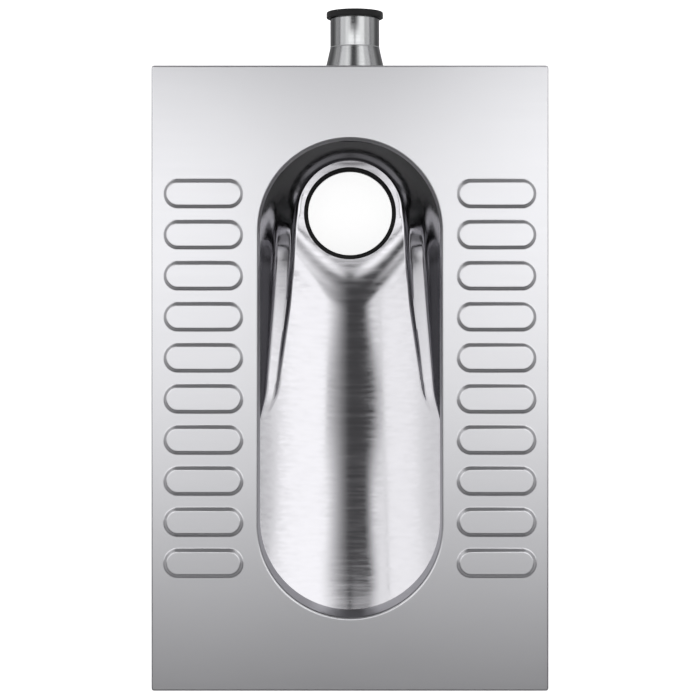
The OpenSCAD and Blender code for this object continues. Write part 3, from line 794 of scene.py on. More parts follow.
class PAN_OT_deck_plate(PanOperator, bpy.types.Operator):
    """Press the deck: sheet, treads, rolled opening, skirt and lip"""

    bl_idname = "squatting_pan.deck_plate"
    bl_label = "Deck Plate"

    def tread(self, settings, plan):
        """One tread: an outline drawn up in steps to a flat top."""
        deck, treads = settings.deck, settings.treads
        round_r = treads.width / 2
        bpy.ops.object.select_all(action="DESELECT")
        bpy.ops.mesh.primitive_circle_add(
            vertices=56, radius=round_r, fill_type="NGON", location=(0, 0, deck.top),
        )
        piece = settle(bpy.context.active_object, "tread")
        shift = treads.length / 2 - round_r
        for side in (1, -1):
            edit(piece)
            select_parts(piece, "VERT", lambda v: side * v.co.x > TINY)
            bpy.ops.transform.translate(value=(side * shift, 0, 0))
            close_edit()
        edit(piece)
        bpy.ops.mesh.select_mode(type="FACE")
        bpy.ops.mesh.select_all(action="SELECT")
        bpy.ops.mesh.inset(thickness=HOLD, depth=0)
        steps = 9
        for k in range(steps):
            low, high = (BowlShape.ease(j / steps) * treads.rise for j in (k, k + 1))
            bpy.ops.mesh.inset(thickness=treads.slope / steps, depth=high - low)
        bpy.ops.mesh.inset(thickness=HOLD, depth=0)
        close_edit()
        return piece

    @staticmethod
    def climb(edge):
        """Height between an edge's two ends."""
        return abs(edge.verts[0].co.z - edge.verts[1].co.z)

    def copies(self, piece, places):
        """Copies of a piece, each with its own mesh, moved to the places."""
        made = []
        for place in places:
            copy = piece.copy()
            copy.data = piece.data.copy()
            bpy.context.scene.collection.objects.link(copy)
            copy.location = place
            made.append(settle(copy, piece.name + "_copy"))
        return made

    def build(self, settings, plan):
        deck, treads = settings.deck, settings.treads
        top, low = deck.top, deck.top - deck.skirt
        level = 0.999           # upright part of a flat face's normal
        bpy.ops.object.select_all(action="DESELECT")
        bpy.ops.mesh.primitive_cube_add(
            size=1, location=(0, plan.centre_y, (top + low) / 2),
            scale=(deck.width, deck.length, deck.skirt),
        )
        piece = settle(bpy.context.active_object, "pressed_deck")
        edit(piece)
        select_parts(piece, "EDGE", lambda e: self.climb(e) > deck.skirt / 2)
        bpy.ops.mesh.bevel(offset=deck.corner, segments=4, affect="EDGES")
        select_parts(piece, "EDGE", lambda e: self.climb(e) < TINY)
        bpy.ops.mesh.bevel(offset=deck.bend, segments=5, affect="EDGES")
        select_parts(piece, "FACE", lambda f: f.normal.z > level and len(f.verts) > 8)
        bpy.ops.mesh.inset(thickness=HOLD, depth=0)
        bpy.ops.mesh.delete(type="FACE")
        select_parts(piece, "FACE", lambda f: f.normal.z < -level and len(f.verts) > 8)
        bpy.ops.mesh.delete(type="FACE")
        select_parts(
            piece, "EDGE", lambda e: e.is_boundary and all(v.co.z < low + HOLD for v in e.verts),
        )
        for width in (HOLD, deck.lip - deck.bend - HOLD):
            move_edges((0, 0, 0))
            mesh = bmesh.from_edit_mesh(piece.data)
            reach = max(v.co.x for v in mesh.verts if v.select)
            far = max(v.co.y for v in mesh.verts if v.select) - plan.centre_y
            bpy.ops.transform.resize(
                value=((reach - width) / reach, (far - width) / far, 1),
                center_override=(0, plan.centre_y, low),
            )
        close_edit()
        half = deck.mouth_width / 2
        profile = rounded([
            (half + HOLD, top, 0), (plan.collar_in, top, deck.mouth_edge),
            (plan.collar_in, top - deck.collar, 0),
        ], closed=False, steps=8)
        collar = round_the_mouth("collar", profile, plan)
        tread = self.tread(settings, plan)
        places = [
            (side * plan.tread_x, plan.centre_y + (i - (treads.rows - 1) / 2) * treads.pitch, 0)
            for side in (1, -1) for i in range(treads.rows)
        ]
        treads_made = self.copies(tread, places)
        bpy.data.objects.remove(tread, do_unlink=True)
        join(piece, [collar, *treads_made])
        edit(piece)
        select_parts(
            piece, "EDGE",
            lambda e: e.is_boundary and all(abs(v.co.z - top) < TINY for v in e.verts),
        )
        bpy.ops.mesh.fill(use_beauty=True)
        bpy.ops.mesh.select_all(action="SELECT")
        bpy.ops.mesh.remove_doubles(threshold=0.005 * MM)
        normals_out()
        close_edit()
        face_up(piece)
        apply_modifier(piece, "SOLIDIFY", thickness=deck.sheet, offset=-1.0)
        inlet_y = plan.centre_y + deck.length / 2
        cut(piece, cylinder(
            "notch", plan.notch_r, 2 * deck.lip + 8 * MM,
            (settings.inlet.offset, inlet_y, plan.inlet_z), ON_Y, vertices=128,
        ))
        finish_piece(piece, satin_sheet(settings), "deck_steel", "deck_plate")


class PAN_OT_bowl(PanOperator, bpy.types.Operator):
    """Draw the bowl: flange, flush channel, walls, trough and outlet seat"""

    bl_idname = "squatting_pan.bowl"
    bl_label = "Bowl"

    rear_steps = 34             # columns over each rear quarter
    side_steps = 30             # columns beside the front half of the outlet
    front_steps = 96            # columns from there round to the front tip
    bend_steps, upright_steps = 6, 4
    wall_steps, floor_steps, seat_steps = 28, 34, 3
    front_reach = 60 * MM       # length of the middle line in front of the spine's end
    flange_bend = 2.5 * MM      # radius of the bend under the flange
    least_run = 3.5 * MM
    even_out = 5                # columns on each side over which the foot's line is averaged

    def outline(self, shape, gone):
        """Point of the upright wall at a path length in front of the outlet, and the way in."""
        plan = shape.plan
        turn = math.asin((plan.outlet_y - plan.spine) / plan.wall_r)
        arc = turn * plan.wall_r
        if gone < arc:
            a = turn - gone / plan.wall_r
            point = Vector((plan.wall_r * math.cos(a), plan.spine + plan.wall_r * math.sin(a)))
        elif gone < arc + 2 * plan.spine:
            point = Vector((plan.wall_r, plan.spine - (gone - arc)))
        else:
            a = (gone - arc - 2 * plan.spine) / plan.wall_r
            point = Vector((plan.wall_r * math.cos(a), -plan.spine - plan.wall_r * math.sin(a)))
        inward = Vector((0, min(max(point.y, -plan.spine), plan.spine))) - point
        return point, inward.normalized()

    def crease(self, shape, point, inward):
        """Run from the upright wall to where the drawn wall meets the floor, found by halving."""
        low, high = 0.0, 60 * MM
        for _ in range(24):
            mid = (low + high) / 2
            spot = point + inward * mid
            if shape.wall(spot.x, spot.y) < shape.floor(spot.x, spot.y):
                low = mid
            else:
                high = mid
        return max(low, self.least_run)

    def columns(self, shape):
        """For half the bowl: outline point, way in, floor's end, and ray from the outlet or None."""
        plan = shape.plan
        outlet = Vector((0, plan.outlet_y))
        quarter = math.pi / 2 * plan.seat_r
        middle = plan.outlet_y - plan.seat_r + plan.spine + self.front_reach
        turn = math.asin((plan.outlet_y - plan.spine) / plan.wall_r)
        whole = (turn + math.pi / 2) * plan.wall_r + 2 * plan.spine
        beside = whole * quarter / (quarter + middle)
        made = []
        for k in range(self.rear_steps):
            a = math.pi / 2 * k / self.rear_steps
            ray = Vector((math.sin(a), math.cos(a)))
            made.append((outlet + ray * shape.ray(a), -ray, outlet + ray * plan.seat_r, ray))
        for k in range(self.side_steps + 1):
            share = k / self.side_steps
            a = math.pi / 2 * (1 + share)
            ray = Vector((math.sin(a), math.cos(a)))
            made.append((*self.outline(shape, beside * share), outlet + ray * plan.seat_r, ray))
        for k in range(1, self.front_steps + 1):
            share = k / self.front_steps
            end = Vector((0, plan.outlet_y - plan.seat_r - middle * share))
            made.append((*self.outline(shape, beside + (whole - beside) * share), end, None))
        return made

    def build(self, settings, plan):
        shape = BowlShape(settings, plan)
        bowl, deck = settings.bowl, settings.deck
        columns = self.columns(shape)
        runs = [self.crease(shape, point, inward) for point, inward, _, _ in columns]
        last, near, bend = len(columns) - 1, self.even_out, self.flange_bend
        upright = bowl.shoulder - bowl.blend / 2 - deck.sheet - bend
        lines = []
        for k, (point, inward, end, ray) in enumerate(columns):
            around = [runs[min(abs(j), 2 * last - j)] for j in range(k - near, k + near + 1)]
            foot = point + inward * (sum(around) / len(around))
            line = [(point - inward * bowl.flange, deck.sheet)]
            for j in range(self.bend_steps + 1):
                a = math.pi / 2 * j / self.bend_steps
                spot = point - inward * (bend * (1 - math.sin(a)))
                line.append((spot, deck.sheet + bend * (1 - math.cos(a))))
            for j in range(1, self.upright_steps + 1):
                line.append((point, deck.sheet + bend + upright * j / self.upright_steps))
            for j in range(self.wall_steps + 1):
                spot = point + (foot - point) * (j / self.wall_steps)
                line.append((spot, shape.depth(spot.x, spot.y)))
            for j in range(1, self.floor_steps + 1):
                t = j / self.floor_steps
                spot = foot + (end - foot) * (t * (0.6 + 0.4 * t))
                line.append((spot, shape.depth(spot.x, spot.y)))
            if ray is not None:
                hole = Vector((0, plan.outlet_y)) + ray * plan.hole_r
                for j in range(1, self.seat_steps + 1):
                    spot = end + (hole - end) * j / self.seat_steps
                    line.append((spot, shape.depth(spot.x, spot.y)))
            lines.append(line)
        # the drawn skin follows its depth, which no extrusion gives, so it is laid point by point
        mesh = bmesh.new()
        around = 2 * last
        grid = []
        for k in range(around):
            side = 1 if k <= last else -1
            grid.append([
                mesh.verts.new((side * spot.x, spot.y + plan.centre_y, plan.top - depth))
                for spot, depth in lines[k if k <= last else around - k]
            ])
        for k in range(around):
            a, b = grid[k], grid[(k + 1) % around]
            for j in range(min(len(a), len(b)) - 1):
                mesh.faces.new((a[j], b[j], b[j + 1], a[j + 1]))
        skin = bpy.data.meshes.new("drawn_bowl")
        mesh.to_mesh(skin)
        mesh.free()
        piece = bpy.data.objects.new("drawn_bowl", skin)
        bpy.context.scene.collection.objects.link(piece)
        edit(piece)
        bpy.ops.mesh.select_all(action="SELECT")
        bpy.ops.mesh.remove_doubles(threshold=0.002 * MM)
        close_edit()
        face_up(piece)
        apply_modifier(piece, "SOLIDIFY", thickness=bowl.sheet, offset=-1.0)
        inlet = settings.inlet
        rear_y = plan.centre_y + plan.spine + plan.wall_r
        cut(piece, cylinder(
            "inlet_hole", inlet.neck / 2 - inlet.neck_wall, 50 * MM,
            (inlet.offset, rear_y, plan.inlet_z), ON_Y, vertices=96,
        ))
        finish_piece(piece, polished_sheet(settings), "bowl_steel", "bowl", smooth=40.0)


class PAN_OT_outlet_spigot(PanOperator, bpy.types.Operator):
    """Turn the outlet spigot, with its drawn-in top and rounded lower edge"""

    bl_idname = "squatting_pan.outlet_spigot"
    bl_label = "Outlet Spigot"

    def build(self, settings, plan):
        outlet = settings.outlet
        inner_r, top_inner_r = plan.spigot_r - outlet.wall, plan.spigot_top_r - outlet.wall
        shoulder = plan.seat_z - settings.bowl.sheet - outlet.backing_sheet
        piece = turned("outlet_tube", (0, 0, 0), "Z", [
            (plan.spigot_r, 0, 0.5 * MM), (plan.spigot_r, shoulder, 0.5 * MM),
            (plan.spigot_top_r, shoulder, 0.2 * MM), (plan.spigot_top_r, plan.seat_z, 0.4 * MM),
            (top_inner_r, plan.seat_z, 0.4 * MM), (top_inner_r, shoulder - outlet.wall, 0.6 * MM),
            (inner_r, shoulder - 2 * outlet.wall, 0.6 * MM), (inner_r, 0, 0.5 * MM),
        ], segments=160)
        finish_piece(piece, plain_tube(settings), "tube_steel", "outlet_spigot")


class PAN_OT_backing_ring(PanOperator, bpy.types.Operator):
    """Turn the ring that backs the bowl sheet round the spigot"""

    bl_idname = "squatting_pan.backing_ring"
    bl_label = "Backing Ring"

    def build(self, settings, plan):
        outlet = settings.outlet
        high = plan.seat_z - settings.bowl.sheet
        low = high - outlet.backing_sheet
        inner, outer = plan.spigot_top_r + 0.1 * MM, plan.spigot_r + outlet.backing
        piece = turned("outlet_backing", (0, 0, 0), "Z", [
            (inner, low, 0.3 * MM), (inner, high, 0.3 * MM),
            (outer, high, 0.4 * MM), (outer, low, 0.6 * MM),
        ], segments=160)
        finish_piece(piece, mill_sheet(settings), "stiffener_steel", "outlet_backing_ring")


class PAN_OT_outlet_seal(PanOperator, bpy.types.Operator):
    """Mould the outlet's rubber seal: a lip on the seat and a grooved sleeve in the spigot"""

    bl_idname = "squatting_pan.outlet_seal"
    bl_label = "Outlet Seal"

    def build(self, settings, plan):
        outlet = settings.outlet
        sleeve_r = plan.spigot_top_r - outlet.wall - PRESS_GAP
        clear_r = sleeve_r - outlet.seal_wall
        lip_r = plan.hole_r + 1 * MM
        high, low = plan.seat_z + outlet.seal_lip, plan.seat_z - outlet.seal_sleeve
        grooves = []
        for k in range(3):
            at = plan.seat_z - (2.5 + 4 * k) * MM
            grooves += [
                (clear_r + 0.1 * MM, at + 0.9 * MM, 0), (clear_r + 0.5 * MM, at, 0.4 * MM),
                (clear_r + 0.1 * MM, at - 0.9 * MM, 0),
            ]
        piece = turned("outlet_rubber", (0, 0, 0), "Z", [
            (lip_r, high, 1.1 * MM), (clear_r, high, 1.0 * MM), *grooves, (clear_r, low, 0.6 * MM),
            (sleeve_r, low, 0.4 * MM), (sleeve_r, plan.seat_z, 0.1 * MM),
            (lip_r, plan.seat_z, 0.5 * MM),
        ], segments=160)
        finish_piece(piece, seal_rubber(settings), "black_rubber", "outlet_seal", smooth=50.0)


class PAN_OT_inlet_reducer(PanOperator, bpy.types.Operator):
    """Turn the reducer from the bowl's rear wall to the flush inlet tube"""

    bl_idname = "squatting_pan.inlet_reducer"
    bl_label = "Inlet Reducer"

    def build(self, settings, plan):
        bowl, inlet = settings.bowl, settings.inlet
        big, small, wall = inlet.neck / 2, inlet.outside / 2, inlet.neck_wall
        start = plan.centre_y + plan.spine + plan.wall_r * 0.8
        piece = turned("inlet_cone", (inlet.offset, 0, plan.inlet_z), "Y", [
            (big, start, 0), (big, plan.cone_big_y, 14 * MM), (small, plan.cone_small_y, 0.3 * MM),
            (small - wall, plan.cone_small_y, 0.3 * MM), (big - wall, plan.cone_big_y, 14 * MM),
            (big - wall, start, 0),
        ])
        # what the bowl fills behind the outlet is cut away, so that the neck ends on its rear wall
        run = plan.rear_fall(bowl)
        top_r = plan.wall_r + bowl.sheet + WELD_GAP
        deep = inlet.depth + inlet.neck / 2 + 5 * MM - bowl.shoulder
        centre_y = plan.centre_y + plan.spine
        upper = cylinder(
            "upper_fill", top_r, bowl.shoulder, (0, centre_y, plan.top - bowl.shoulder / 2),
            vertices=256,
        )
        bpy.ops.object.select_all(action="DESELECT")
        bpy.ops.mesh.primitive_cone_add(
            vertices=256, radius1=top_r - deep / run, radius2=top_r, depth=deep,
            location=(0, centre_y, plan.top - bowl.shoulder - deep / 2 + 0.01 * MM),
        )
        cut(piece, settle(bpy.context.active_object, "lower_fill"))
        cut(piece, upper)
        finish_piece(piece, plain_tube(settings), "tube_steel", "inlet_reducer", smooth=30.0)


class PAN_OT_inlet_tube(PanOperator, bpy.types.Operator):
    """Turn the plain end of the flush inlet"""

    bl_idname = "squatting_pan.inlet_tube"
    bl_label = "Inlet Tube"

    def build(self, settings, plan):
        inlet = settings.inlet
        outer, inner = inlet.outside / 2, inlet.outside / 2 - inlet.wall
        end = plan.inlet_end - plan.cuff_face
        piece = turned("inlet_pipe", (inlet.offset, 0, plan.inlet_z), "Y", [
            (outer, plan.cone_small_y, 0.2 * MM), (outer, end, 0.4 * MM), (inner, end, 0.3 * MM),
            (inner, plan.cone_small_y, 0.2 * MM),
        ])
        finish_piece(piece, plain_tube(settings), "tube_steel", "inlet_tube")


class PAN_OT_inlet_cuff(PanOperator, bpy.types.Operator):
    """Mould the rubber cuff on the end of the flush inlet"""

    bl_idname = "squatting_pan.inlet_cuff"
    bl_label = "Inlet Cuff"

    def build(self, settings, plan):
        inlet = settings.inlet
        sleeve_r = inlet.outside / 2 - inlet.wall - PRESS_GAP
        clear_r = sleeve_r - inlet.cuff_wall
        ring_in = inlet.outside / 2 + PRESS_GAP
        ring_out = ring_in + inlet.cuff_ring
        end = plan.inlet_end
        ring_end, sleeve_end = end - inlet.cuff_ring_length, end - inlet.cuff_sleeve
        face = end - plan.cuff_face
        piece = turned("inlet_rubber", (inlet.offset, 0, plan.inlet_z), "Y", [
            (clear_r, sleeve_end, 0.5 * MM), (clear_r, end, 1.2 * MM),
            (ring_out, end, 1.6 * MM), (ring_out, ring_end, 0.8 * MM),
            (ring_in, ring_end, 0.4 * MM), (ring_in, face, 0.2 * MM),
            (sleeve_r, face, 0.2 * MM), (sleeve_r, sleeve_end, 0.4 * MM),
        ])
        finish_piece(piece, seal_rubber(settings), "black_rubber", "inlet_cuff", smooth=50.0)


class PAN_OT_ribs(PanOperator, bpy.types.Operator):
    """Fold the five hat-section ribs under the deck"""

    bl_idname = "squatting_pan.ribs"
    bl_label = "Ribs"

    def rib(self, name, node_name, settings, plan, centre, rib_length, across):
        """One rib along Y, or along X if across, with its feet against the deck."""
        under = settings.underside
        high = plan.top - settings.deck.sheet
        low = high - under.rib_height + under.rib_sheet
        half, web = plan.rib_half, under.rib / 2 - under.rib_sheet
        bend = 2.2 * MM
        corners = [
            (-half, high, 0), (-web, high, bend), (-web, low, bend),
            (web, low, bend), (web, high, bend), (half, high, 0),
        ]
        start = -rib_length / 2
        profile = [
            Vector((*centre, 0)) + Vector((start, p.x, p.y) if across else (p.x, start, p.y))
            for p in rounded(corners, closed=False)
        ]
        travel = Vector((rib_length, 0, 0)) if across else Vector((0, rib_length, 0))
        piece = bent_sheet(name, profile, travel, under.rib_sheet, offset=-1.0 if across else 1.0)
        finish_piece(piece, mill_sheet(settings), "stiffener_steel", node_name)

    def build(self, settings, plan):
        y = plan.centre_y
        for side, word in ((-1, "left"), (1, "right")):
            self.rib("rib_under_" + word + "_treads", "tread_rib_" + word, settings, plan,
                     (side * plan.tread_x, y), plan.rib_length, False)
            self.rib("rear_rib_folded_" + word, "rear_rib_" + word, settings, plan,
                     (side * (plan.rear_rib_x + plan.rear_rib_length / 2), y + plan.end_rib_y),
                     plan.rear_rib_length, True)
        self.rib("front_rib_folded", "front_rib", settings, plan, (0, y - plan.end_rib_y),
                 plan.front_rib_length, True)


def drill_and_ease(piece, diameter, place, rotation=(0, 0, 0)):
    """Drills a hole through a bent strip and takes the sharpness off its edges."""
    cut(piece, cylinder("drill", diameter / 2, 20 * MM, place, rotation))
    apply_modifier(piece, "BEVEL", width=0.3 * MM, segments=2, limit_method="ANGLE",
                   angle_limit=math.radians(50))


class PAN_OT_anchors(PanOperator, bpy.types.Operator):
    """Fold and drill the four anchor straps"""

    bl_idname = "squatting_pan.anchors"
    bl_label = "Anchors"

    def build(self, settings, plan):
        deck, under = settings.deck, settings.underside
        outer = deck.width / 2 - deck.lip
        foot_z = plan.top - under.anchor_depth
        for side, word in ((-1, "left"), (1, "right")):
            for end, place in ((-1, "front"), (1, "rear")):
                y = plan.centre_y + end * (deck.length / 2 - under.anchor_in)
                start = y - under.anchor_width / 2
                corners = [
                    (outer, plan.top - deck.sheet, 0), (outer, foot_z, 3.5 * MM),
                    (outer - under.anchor_foot, foot_z, 0),
                ]
                profile = [
                    Vector((side * p.x, start, p.y))
                    for p in rounded(corners, closed=False, steps=6)
                ]
                name = place + "_" + word
                piece = bent_sheet("strap_" + name, profile, Vector((0, under.anchor_width, 0)),
                                   under.anchor_sheet, offset=side)
                hole_x = side * (outer - under.anchor_foot / 2)
                drill_and_ease(piece, under.anchor_hole, (hole_x, y, foot_z))
                finish_piece(piece, mill_sheet(settings), "stiffener_steel", "anchor_" + name)


class PAN_OT_earthing_tab(PanOperator, bpy.types.Operator):
    """Fold and drill the earthing tab"""

    bl_idname = "squatting_pan.earthing_tab"
    bl_label = "Earthing Tab"

    def build(self, settings, plan):
        under = settings.underside
        x = plan.tread_x - plan.rib_half - under.tab
        front = plan.centre_y - plan.rib_length / 2 - under.tab
        high = plan.top - settings.deck.sheet
        corners = [
            (front + under.tab, high, 0), (front, high, 2.5 * MM),
            (front, plan.top - under.tab_hole_depth - under.tab / 2, 0),
        ]
        profile = [Vector((x, p.x, p.y)) for p in rounded(corners, closed=False, steps=6)]
        piece = bent_sheet("earthing_angle", profile, Vector((under.tab, 0, 0)), 2 * MM, offset=1.0)
        hole = (x + under.tab / 2, front, plan.top - under.tab_hole_depth)
        drill_and_ease(piece, under.tab_hole, hole, ON_Y)
        finish_piece(piece, plain_tube(settings), "tube_steel", "earthing_tab")


class PAN_OT_welds(PanOperator, bpy.types.Operator):
    """Lay the weld beads at the outlet, the flush inlet and the bowl's flange"""

    bl_idname = "squatting_pan.welds"
    bl_label = "Welds"

    def saddle(self, settings, plan):
        """Line where the reducer's neck meets the bowl's rear wall."""
        bowl, inlet = settings.bowl, settings.inlet
        run = plan.rear_fall(bowl)
        path = []
        count = 260
        for i in range(count):
            a = 2 * math.pi * i / count
            x = inlet.offset + inlet.neck / 2 * math.cos(a)
            z = plan.inlet_z + inlet.neck / 2 * math.sin(a)
            depth = plan.top - z
            r = plan.wall_r + bowl.sheet - max(depth - bowl.shoulder, 0) / run
            y = plan.centre_y + plan.spine + math.sqrt(r * r - x * x)
            path.append(Vector((x, y + 0.6 * MM, z)))
        return path

    def mouth_path(self, plan, distance, z):
        """Points 1 mm apart round the opening at a distance from its spine."""
        path = []
        arc = int(math.pi * distance / MM)
        side = int(2 * plan.spine / MM)
        for end in (1, -1):
            for i in range(side):
                y = -plan.spine + i * MM
                path.append(Vector((end * distance, plan.centre_y + end * y, z)))
            for i in range(arc):
                a = math.pi * i / arc
                x, y = distance * math.cos(a), plan.spine + distance * math.sin(a)
                path.append(Vector((end * x, plan.centre_y + end * y, z)))
        return path

    def build(self, settings, plan):
        outlet, bowl, inlet = settings.outlet, settings.bowl, settings.inlet
        under_seat = plan.seat_z - bowl.sheet
        ring_r = plan.spigot_r + outlet.backing
        low = under_seat - outlet.backing_sheet
        flange_z = plan.top - settings.deck.sheet - bowl.sheet * 0.6
        flange_r = plan.wall_r + bowl.flange + 0.2 * MM
        joint = (inlet.offset, plan.cone_small_y, plan.inlet_z)
        upper_ring = circle_path((0, 0, under_seat - 0.3 * MM), ring_r + 0.3 * MM)
        lower_ring = circle_path((0, 0, low - 0.3 * MM), plan.spigot_r + 0.4 * MM)
        for name, path, radius in (
            ("outlet_upper_weld", upper_ring, 1.3),
            ("outlet_lower_weld", lower_ring, 1.3),
            ("inlet_saddle_weld", self.saddle(settings, plan), 1.6),
            ("inlet_joint_weld", circle_path(joint, inlet.outside / 2 - 0.25 * MM, "Y"), 0.6),
            ("flange_weld", self.mouth_path(plan, flange_r, flange_z), 1.0),
        ):
            piece = bead(name, path, radius * MM)
            finish_piece(piece, welded_steel(settings), "tube_steel", smooth=60.0)


class PAN_OT_stage(PanOperator, bpy.types.Operator):
    """Set the floor, the lamps, the world and the camera"""

    bl_idname = "squatting_pan.stage"
    bl_label = "Stage"

    # the ceiling lamp's left, right, front, rear and height, in metres
    ceiling_box = (-1.4, 1.07, -1.35, 2.6, 2.6)
    ceiling_glow = 1.3
    # side lamps: inner and outer edge, each (x, z) in metres, and brightness
    # the bowl's flanks mirror them, the left flank the right-hand ones
    side_span = (-0.6, 2.6)
    side_boxes = (
        ("right_softbox", (1.05, 2.55), (1.66, 1.9), 1.36),
        ("right_low_softbox", (1.66, 1.9), (2.4, 1.05), 0.6),
        ("left_softbox", (-1.3, 2.4), (-1.68, 1.96), 1.2),
        ("left_low_softbox", (-1.68, 1.96), (-2.4, 1.05), 0.8),
    )
    floor_r, sweep_r, wall_height = 7.0, 0.9, 0.4
    seen_floor = 0.85           # glow that turns the floor behind the pan white for the camera
    mirrored_floor = 0.55       # and for mirrors that see it from farther off than this
    mirrored_from = 1.2

    def lamp(self, name, inner, outer, span, radiance):
        """A sheet of light from the line inner to the line outer, both (x, z), over the span of y.

        It has a given surface brightness, faces the pan and hides from the camera.
        """
        across = Vector((outer[0] - inner[0], 0, outer[1] - inner[1]))
        along = Vector((0, span[1] - span[0], 0))
        middle = Vector((inner[0] + outer[0], span[0] + span[1], inner[1] + outer[1])) / 2
        data = bpy.data.lights.new(name, "AREA")
        data.shape = "RECTANGLE"
        data.size, data.size_y = across.length, along.length
        data.energy = radiance * math.pi * data.size * data.size_y
        made = bpy.data.objects.new(name, data)
        bpy.context.scene.collection.objects.link(made)
        x, y = across.normalized(), along.normalized()
        z = x.cross(y)
        if z.dot(middle - Vector((0, 0, 0.2))) < 0:
            x, z = -x, -z
        turn = Matrix((x, y, z)).transposed().to_4x4()
        made.matrix_world = Matrix.Translation(middle) @ turn
        made.visible_camera = False
        return data

    def ceiling(self, over):
        """The overhead lamp: it fades to the front, and a dark slit widens in it to the rear."""
        x0, x1, y0, y1, height = self.ceiling_box
        radiance = self.ceiling_glow * over
        data = self.lamp("ceiling_softbox", (x0, height), (x1, height), (y0, y1), radiance)
        data.use_nodes = True
        tree = data.node_tree
        tree.nodes.clear()
        place = node(tree, "ShaderNodeNewGeometry").outputs["Parametric"]
        spot = node(tree, "ShaderNodeSeparateXYZ", {"Vector": place})
        x = ramp(tree, spot.outputs["X"], 0.0, 1.0, x0, x1)
        y = ramp(tree, spot.outputs["Y"], 0.0, 1.0, y0, y1)
        # half width of the slit, whose waist and belly show in the stripe along the trough
        width = ramp(tree, y, 0.3, 0.6, 0.2, 1.0, smooth=True)
        for start, end, change in ((0.62, 0.78, 0.83), (0.88, 1.16, 1.62), (1.25, 1.5, 0.68)):
            share = ramp(tree, y, start, end, 1.0, change, smooth=True)
            width = combine(tree, "MULTIPLY", width, share)
        # its sides: a long soft edge to the right, a shorter one to the left
        across = combine(tree, "DIVIDE", x, width)
        right = combine(tree, "POWER", ramp(tree, across, 0.0, 1.2, 0.0, 0.81), 1.5)
        sides = combine(tree, "MAXIMUM", right, ramp(tree, across, -0.77, -1.17, 0.0, 0.54))
        # in front of the slit the lamp is whole, strongest over the outlet and fading to the front
        whole = ramp(tree, y, 0.27, 0.55, 1.0, 0.0)
        fade = combine(tree, "MULTIPLY", ramp(tree, y, y0, -0.3, 0.02, 1.0),
                       ramp(tree, y, -0.1, 0.3, 1.0, 1.5, smooth=True))
        lit = combine(tree, "MULTIPLY", combine(tree, "MAXIMUM", sides, whole), fade)
        # the level seat in front of the outlet mirrors a dim line on the lamp's middle
        line = ramp(tree, combine(tree, "MULTIPLY", x, x), 0.001, 0.012,
                    ramp(tree, y, -0.08, 0.14, 0.4, 0.0), 1.0)
        # and the deck behind the opening a dim oval: its centre in y and its half axes
        oval_y, half_x, half_y = 0.24, 0.36, 0.17
        off_x = combine(tree, "DIVIDE", x, half_x)
        off_y = combine(tree, "DIVIDE", combine(tree, "SUBTRACT", y, oval_y), half_y)
        off = combine(tree, "ADD", combine(tree, "MULTIPLY", off_x, off_x),
                      combine(tree, "MULTIPLY", off_y, off_y))
        dim = combine(tree, "MULTIPLY", line, ramp(tree, off, 0.1, 1.0, 0.72, 1.0))
        glow = node(tree, "ShaderNodeEmission", {
            "Color": (1, 1, 1, 1), "Strength": combine(tree, "MULTIPLY", lit, dim),
        })
        node(tree, "ShaderNodeOutputLight", {"Surface": glow.outputs["Emission"]})

    def floor_paint(self, settings):
        """Matt pale paint, barely mottled, that the camera and far mirrors see as white."""
        material, tree = new_material("painted_studio_floor")
        if tree is None:
            return material
        base = settings.finishes.floor
        mottle = noise(tree, node(tree, "ShaderNodeTexCoord").outputs["Object"], 3.0, 3.0)
        seen = node(tree, "ShaderNodeLightPath").outputs
        mirror = combine(tree, "MAXIMUM", seen["Is Glossy Ray"], seen["Is Transmission Ray"])
        far = combine(tree, "GREATER_THAN", seen["Ray Length"], self.mirrored_from)
        mirrored = combine(tree, "MULTIPLY", mirror, far)
        mirrored = combine(tree, "MULTIPLY", mirrored, self.mirrored_floor)
        direct = combine(tree, "MULTIPLY", seen["Is Camera Ray"], self.seen_floor)
        shader = node(tree, "ShaderNodeBsdfPrincipled", {
            "Base Color": mixed(tree, mottle, [c * 0.985 for c in base], base), "Roughness": 0.9,
            "Emission Color": (1, 1, 1, 1),
            "Emission Strength": combine(tree, "MAXIMUM", direct, mirrored),
        })
        node(tree, "ShaderNodeOutputMaterial", {"Surface": shader.outputs["BSDF"]})
        return material

    def floor(self, settings):
        """A pale floor that sweeps up into a low wall all round."""
        bpy.ops.object.select_all(action="DESELECT")
        bpy.ops.mesh.primitive_circle_add(
            vertices=128, radius=self.floor_r, fill_type="NGON", location=(0, 0, 0),
        )
        floor = settle(bpy.context.active_object, "studio_floor")
        edit(floor)
        select_parts(floor, "EDGE", lambda e: e.is_boundary)
        steps, r = 10, self.floor_r
        for k in range(steps):
            a0, a1 = (math.pi / 2 * j / steps for j in (k, k + 1))
            out = self.sweep_r * (math.sin(a1) - math.sin(a0))
            move_edges((0, 0, self.sweep_r * (math.cos(a0) - math.cos(a1))))
            grow = (r + out) / r
            bpy.ops.transform.resize(value=(grow, grow, 1), center_override=(0, 0, 0))
            r += out
        move_edges((0, 0, self.wall_height))
        close_edit()
        select_only(floor)
        bpy.ops.object.shade_smooth_by_angle(angle=math.radians(40))
        floor.data.materials.append(self.floor_paint(settings))

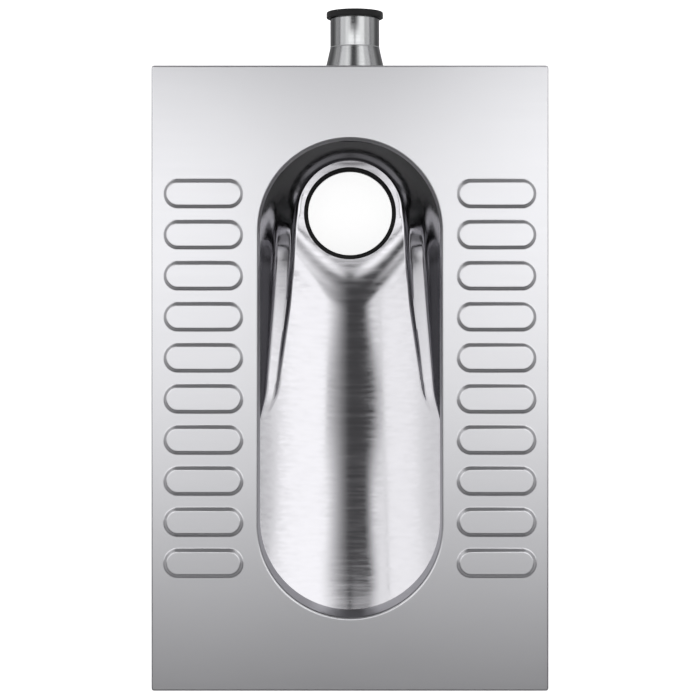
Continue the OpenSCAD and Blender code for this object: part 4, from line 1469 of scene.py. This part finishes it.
    def room(self, scene):
        """The room: pale near the ground, dark overhead and, low down, dark in front and behind."""
        world = bpy.data.worlds.new("studio")
        scene.world = world
        world.use_nodes = True
        tree = world.node_tree
        tree.nodes.clear()
        place = node(tree, "ShaderNodeTexCoord").outputs["Generated"]
        way = node(tree, "ShaderNodeSeparateXYZ", {"Vector": place}).outputs
        level = ramp(tree, way["Z"], 0.35, 0.62, 0.42, 0.07, smooth=True)
        facing = ramp(tree, combine(tree, "ABSOLUTE", way["Y"]), 0.55, 0.85, 0.0, 1.0)
        low = ramp(tree, way["Z"], 0.2, 0.38, 0.85, 0.0)
        shown = combine(tree, "SUBTRACT", 1.0, combine(tree, "MULTIPLY", facing, low))
        background = node(tree, "ShaderNodeBackground", {
            "Color": (1.0, 0.99, 1.02, 1), "Strength": combine(tree, "MULTIPLY", level, shown),
        })
        node(tree, "ShaderNodeOutputWorld", {"Surface": background.outputs["Background"]})

    def build(self, settings, plan):
        scene, stage = bpy.context.scene, settings.stage
        self.floor(settings)
        self.ceiling(stage.overhead)
        for name, inner, outer, radiance in self.side_boxes:
            self.lamp(name, inner, outer, self.side_span, radiance * stage.sides)
        self.room(scene)
        data = bpy.data.cameras.new("camera")
        data.lens = stage.lens
        data.sensor_width = 36.0
        data.shift_y = stage.shift
        data.clip_start, data.clip_end = 0.05, 50
        camera = bpy.data.objects.new("camera", data)
        scene.collection.objects.link(camera)
        camera.location = (0, stage.camera_y, plan.top + stage.camera_height)
        camera.rotation_euler = (0, 0, 0)
        scene.camera = camera
        scene.view_settings.view_transform = "Standard"


class PAN_PT_sidebar(bpy.types.Panel):
    """Lists the sizes and the steps of the build"""

    bl_label = "Squatting Pan"
    bl_idname = "PAN_PT_sidebar"
    bl_space_type = "VIEW_3D"
    bl_region_type = "UI"
    bl_category = "Squatting Pan"

    def draw(self, context):
        layout = self.layout
        settings = context.scene.squatting_pan
        for group in PanSettings.__annotations__:
            box = layout.box()
            box.label(text=group.title())
            values = getattr(settings, group)
            for name in values.__annotations__:
                box.prop(values, name)
        for step in STEPS:
            layout.operator(step.bl_idname)


STEPS = (
    PAN_OT_deck_plate, PAN_OT_bowl, PAN_OT_outlet_spigot, PAN_OT_backing_ring, PAN_OT_outlet_seal,
    PAN_OT_inlet_reducer, PAN_OT_inlet_tube, PAN_OT_inlet_cuff, PAN_OT_ribs, PAN_OT_anchors,
    PAN_OT_earthing_tab, PAN_OT_welds, PAN_OT_stage,
)
GROUPS = (
    DeckSizes, TreadSizes, BowlSizes, OutletSizes, InletSizes, UndersideSizes, Finishes,
    StageSettings, PanSettings,
)


def register():
    for made in (*GROUPS, *STEPS, PAN_PT_sidebar):
        bpy.utils.register_class(made)
    bpy.types.Scene.squatting_pan = bpy.props.PointerProperty(type=PanSettings)


def unregister():
    del bpy.types.Scene.squatting_pan
    for made in reversed((*GROUPS, *STEPS, PAN_PT_sidebar)):
        bpy.utils.unregister_class(made)


def main():
    register()
    for step in STEPS:
        group, name = step.bl_idname.split(".")
        getattr(getattr(bpy.ops, group), name)()


if __name__ == "__main__":
    main()
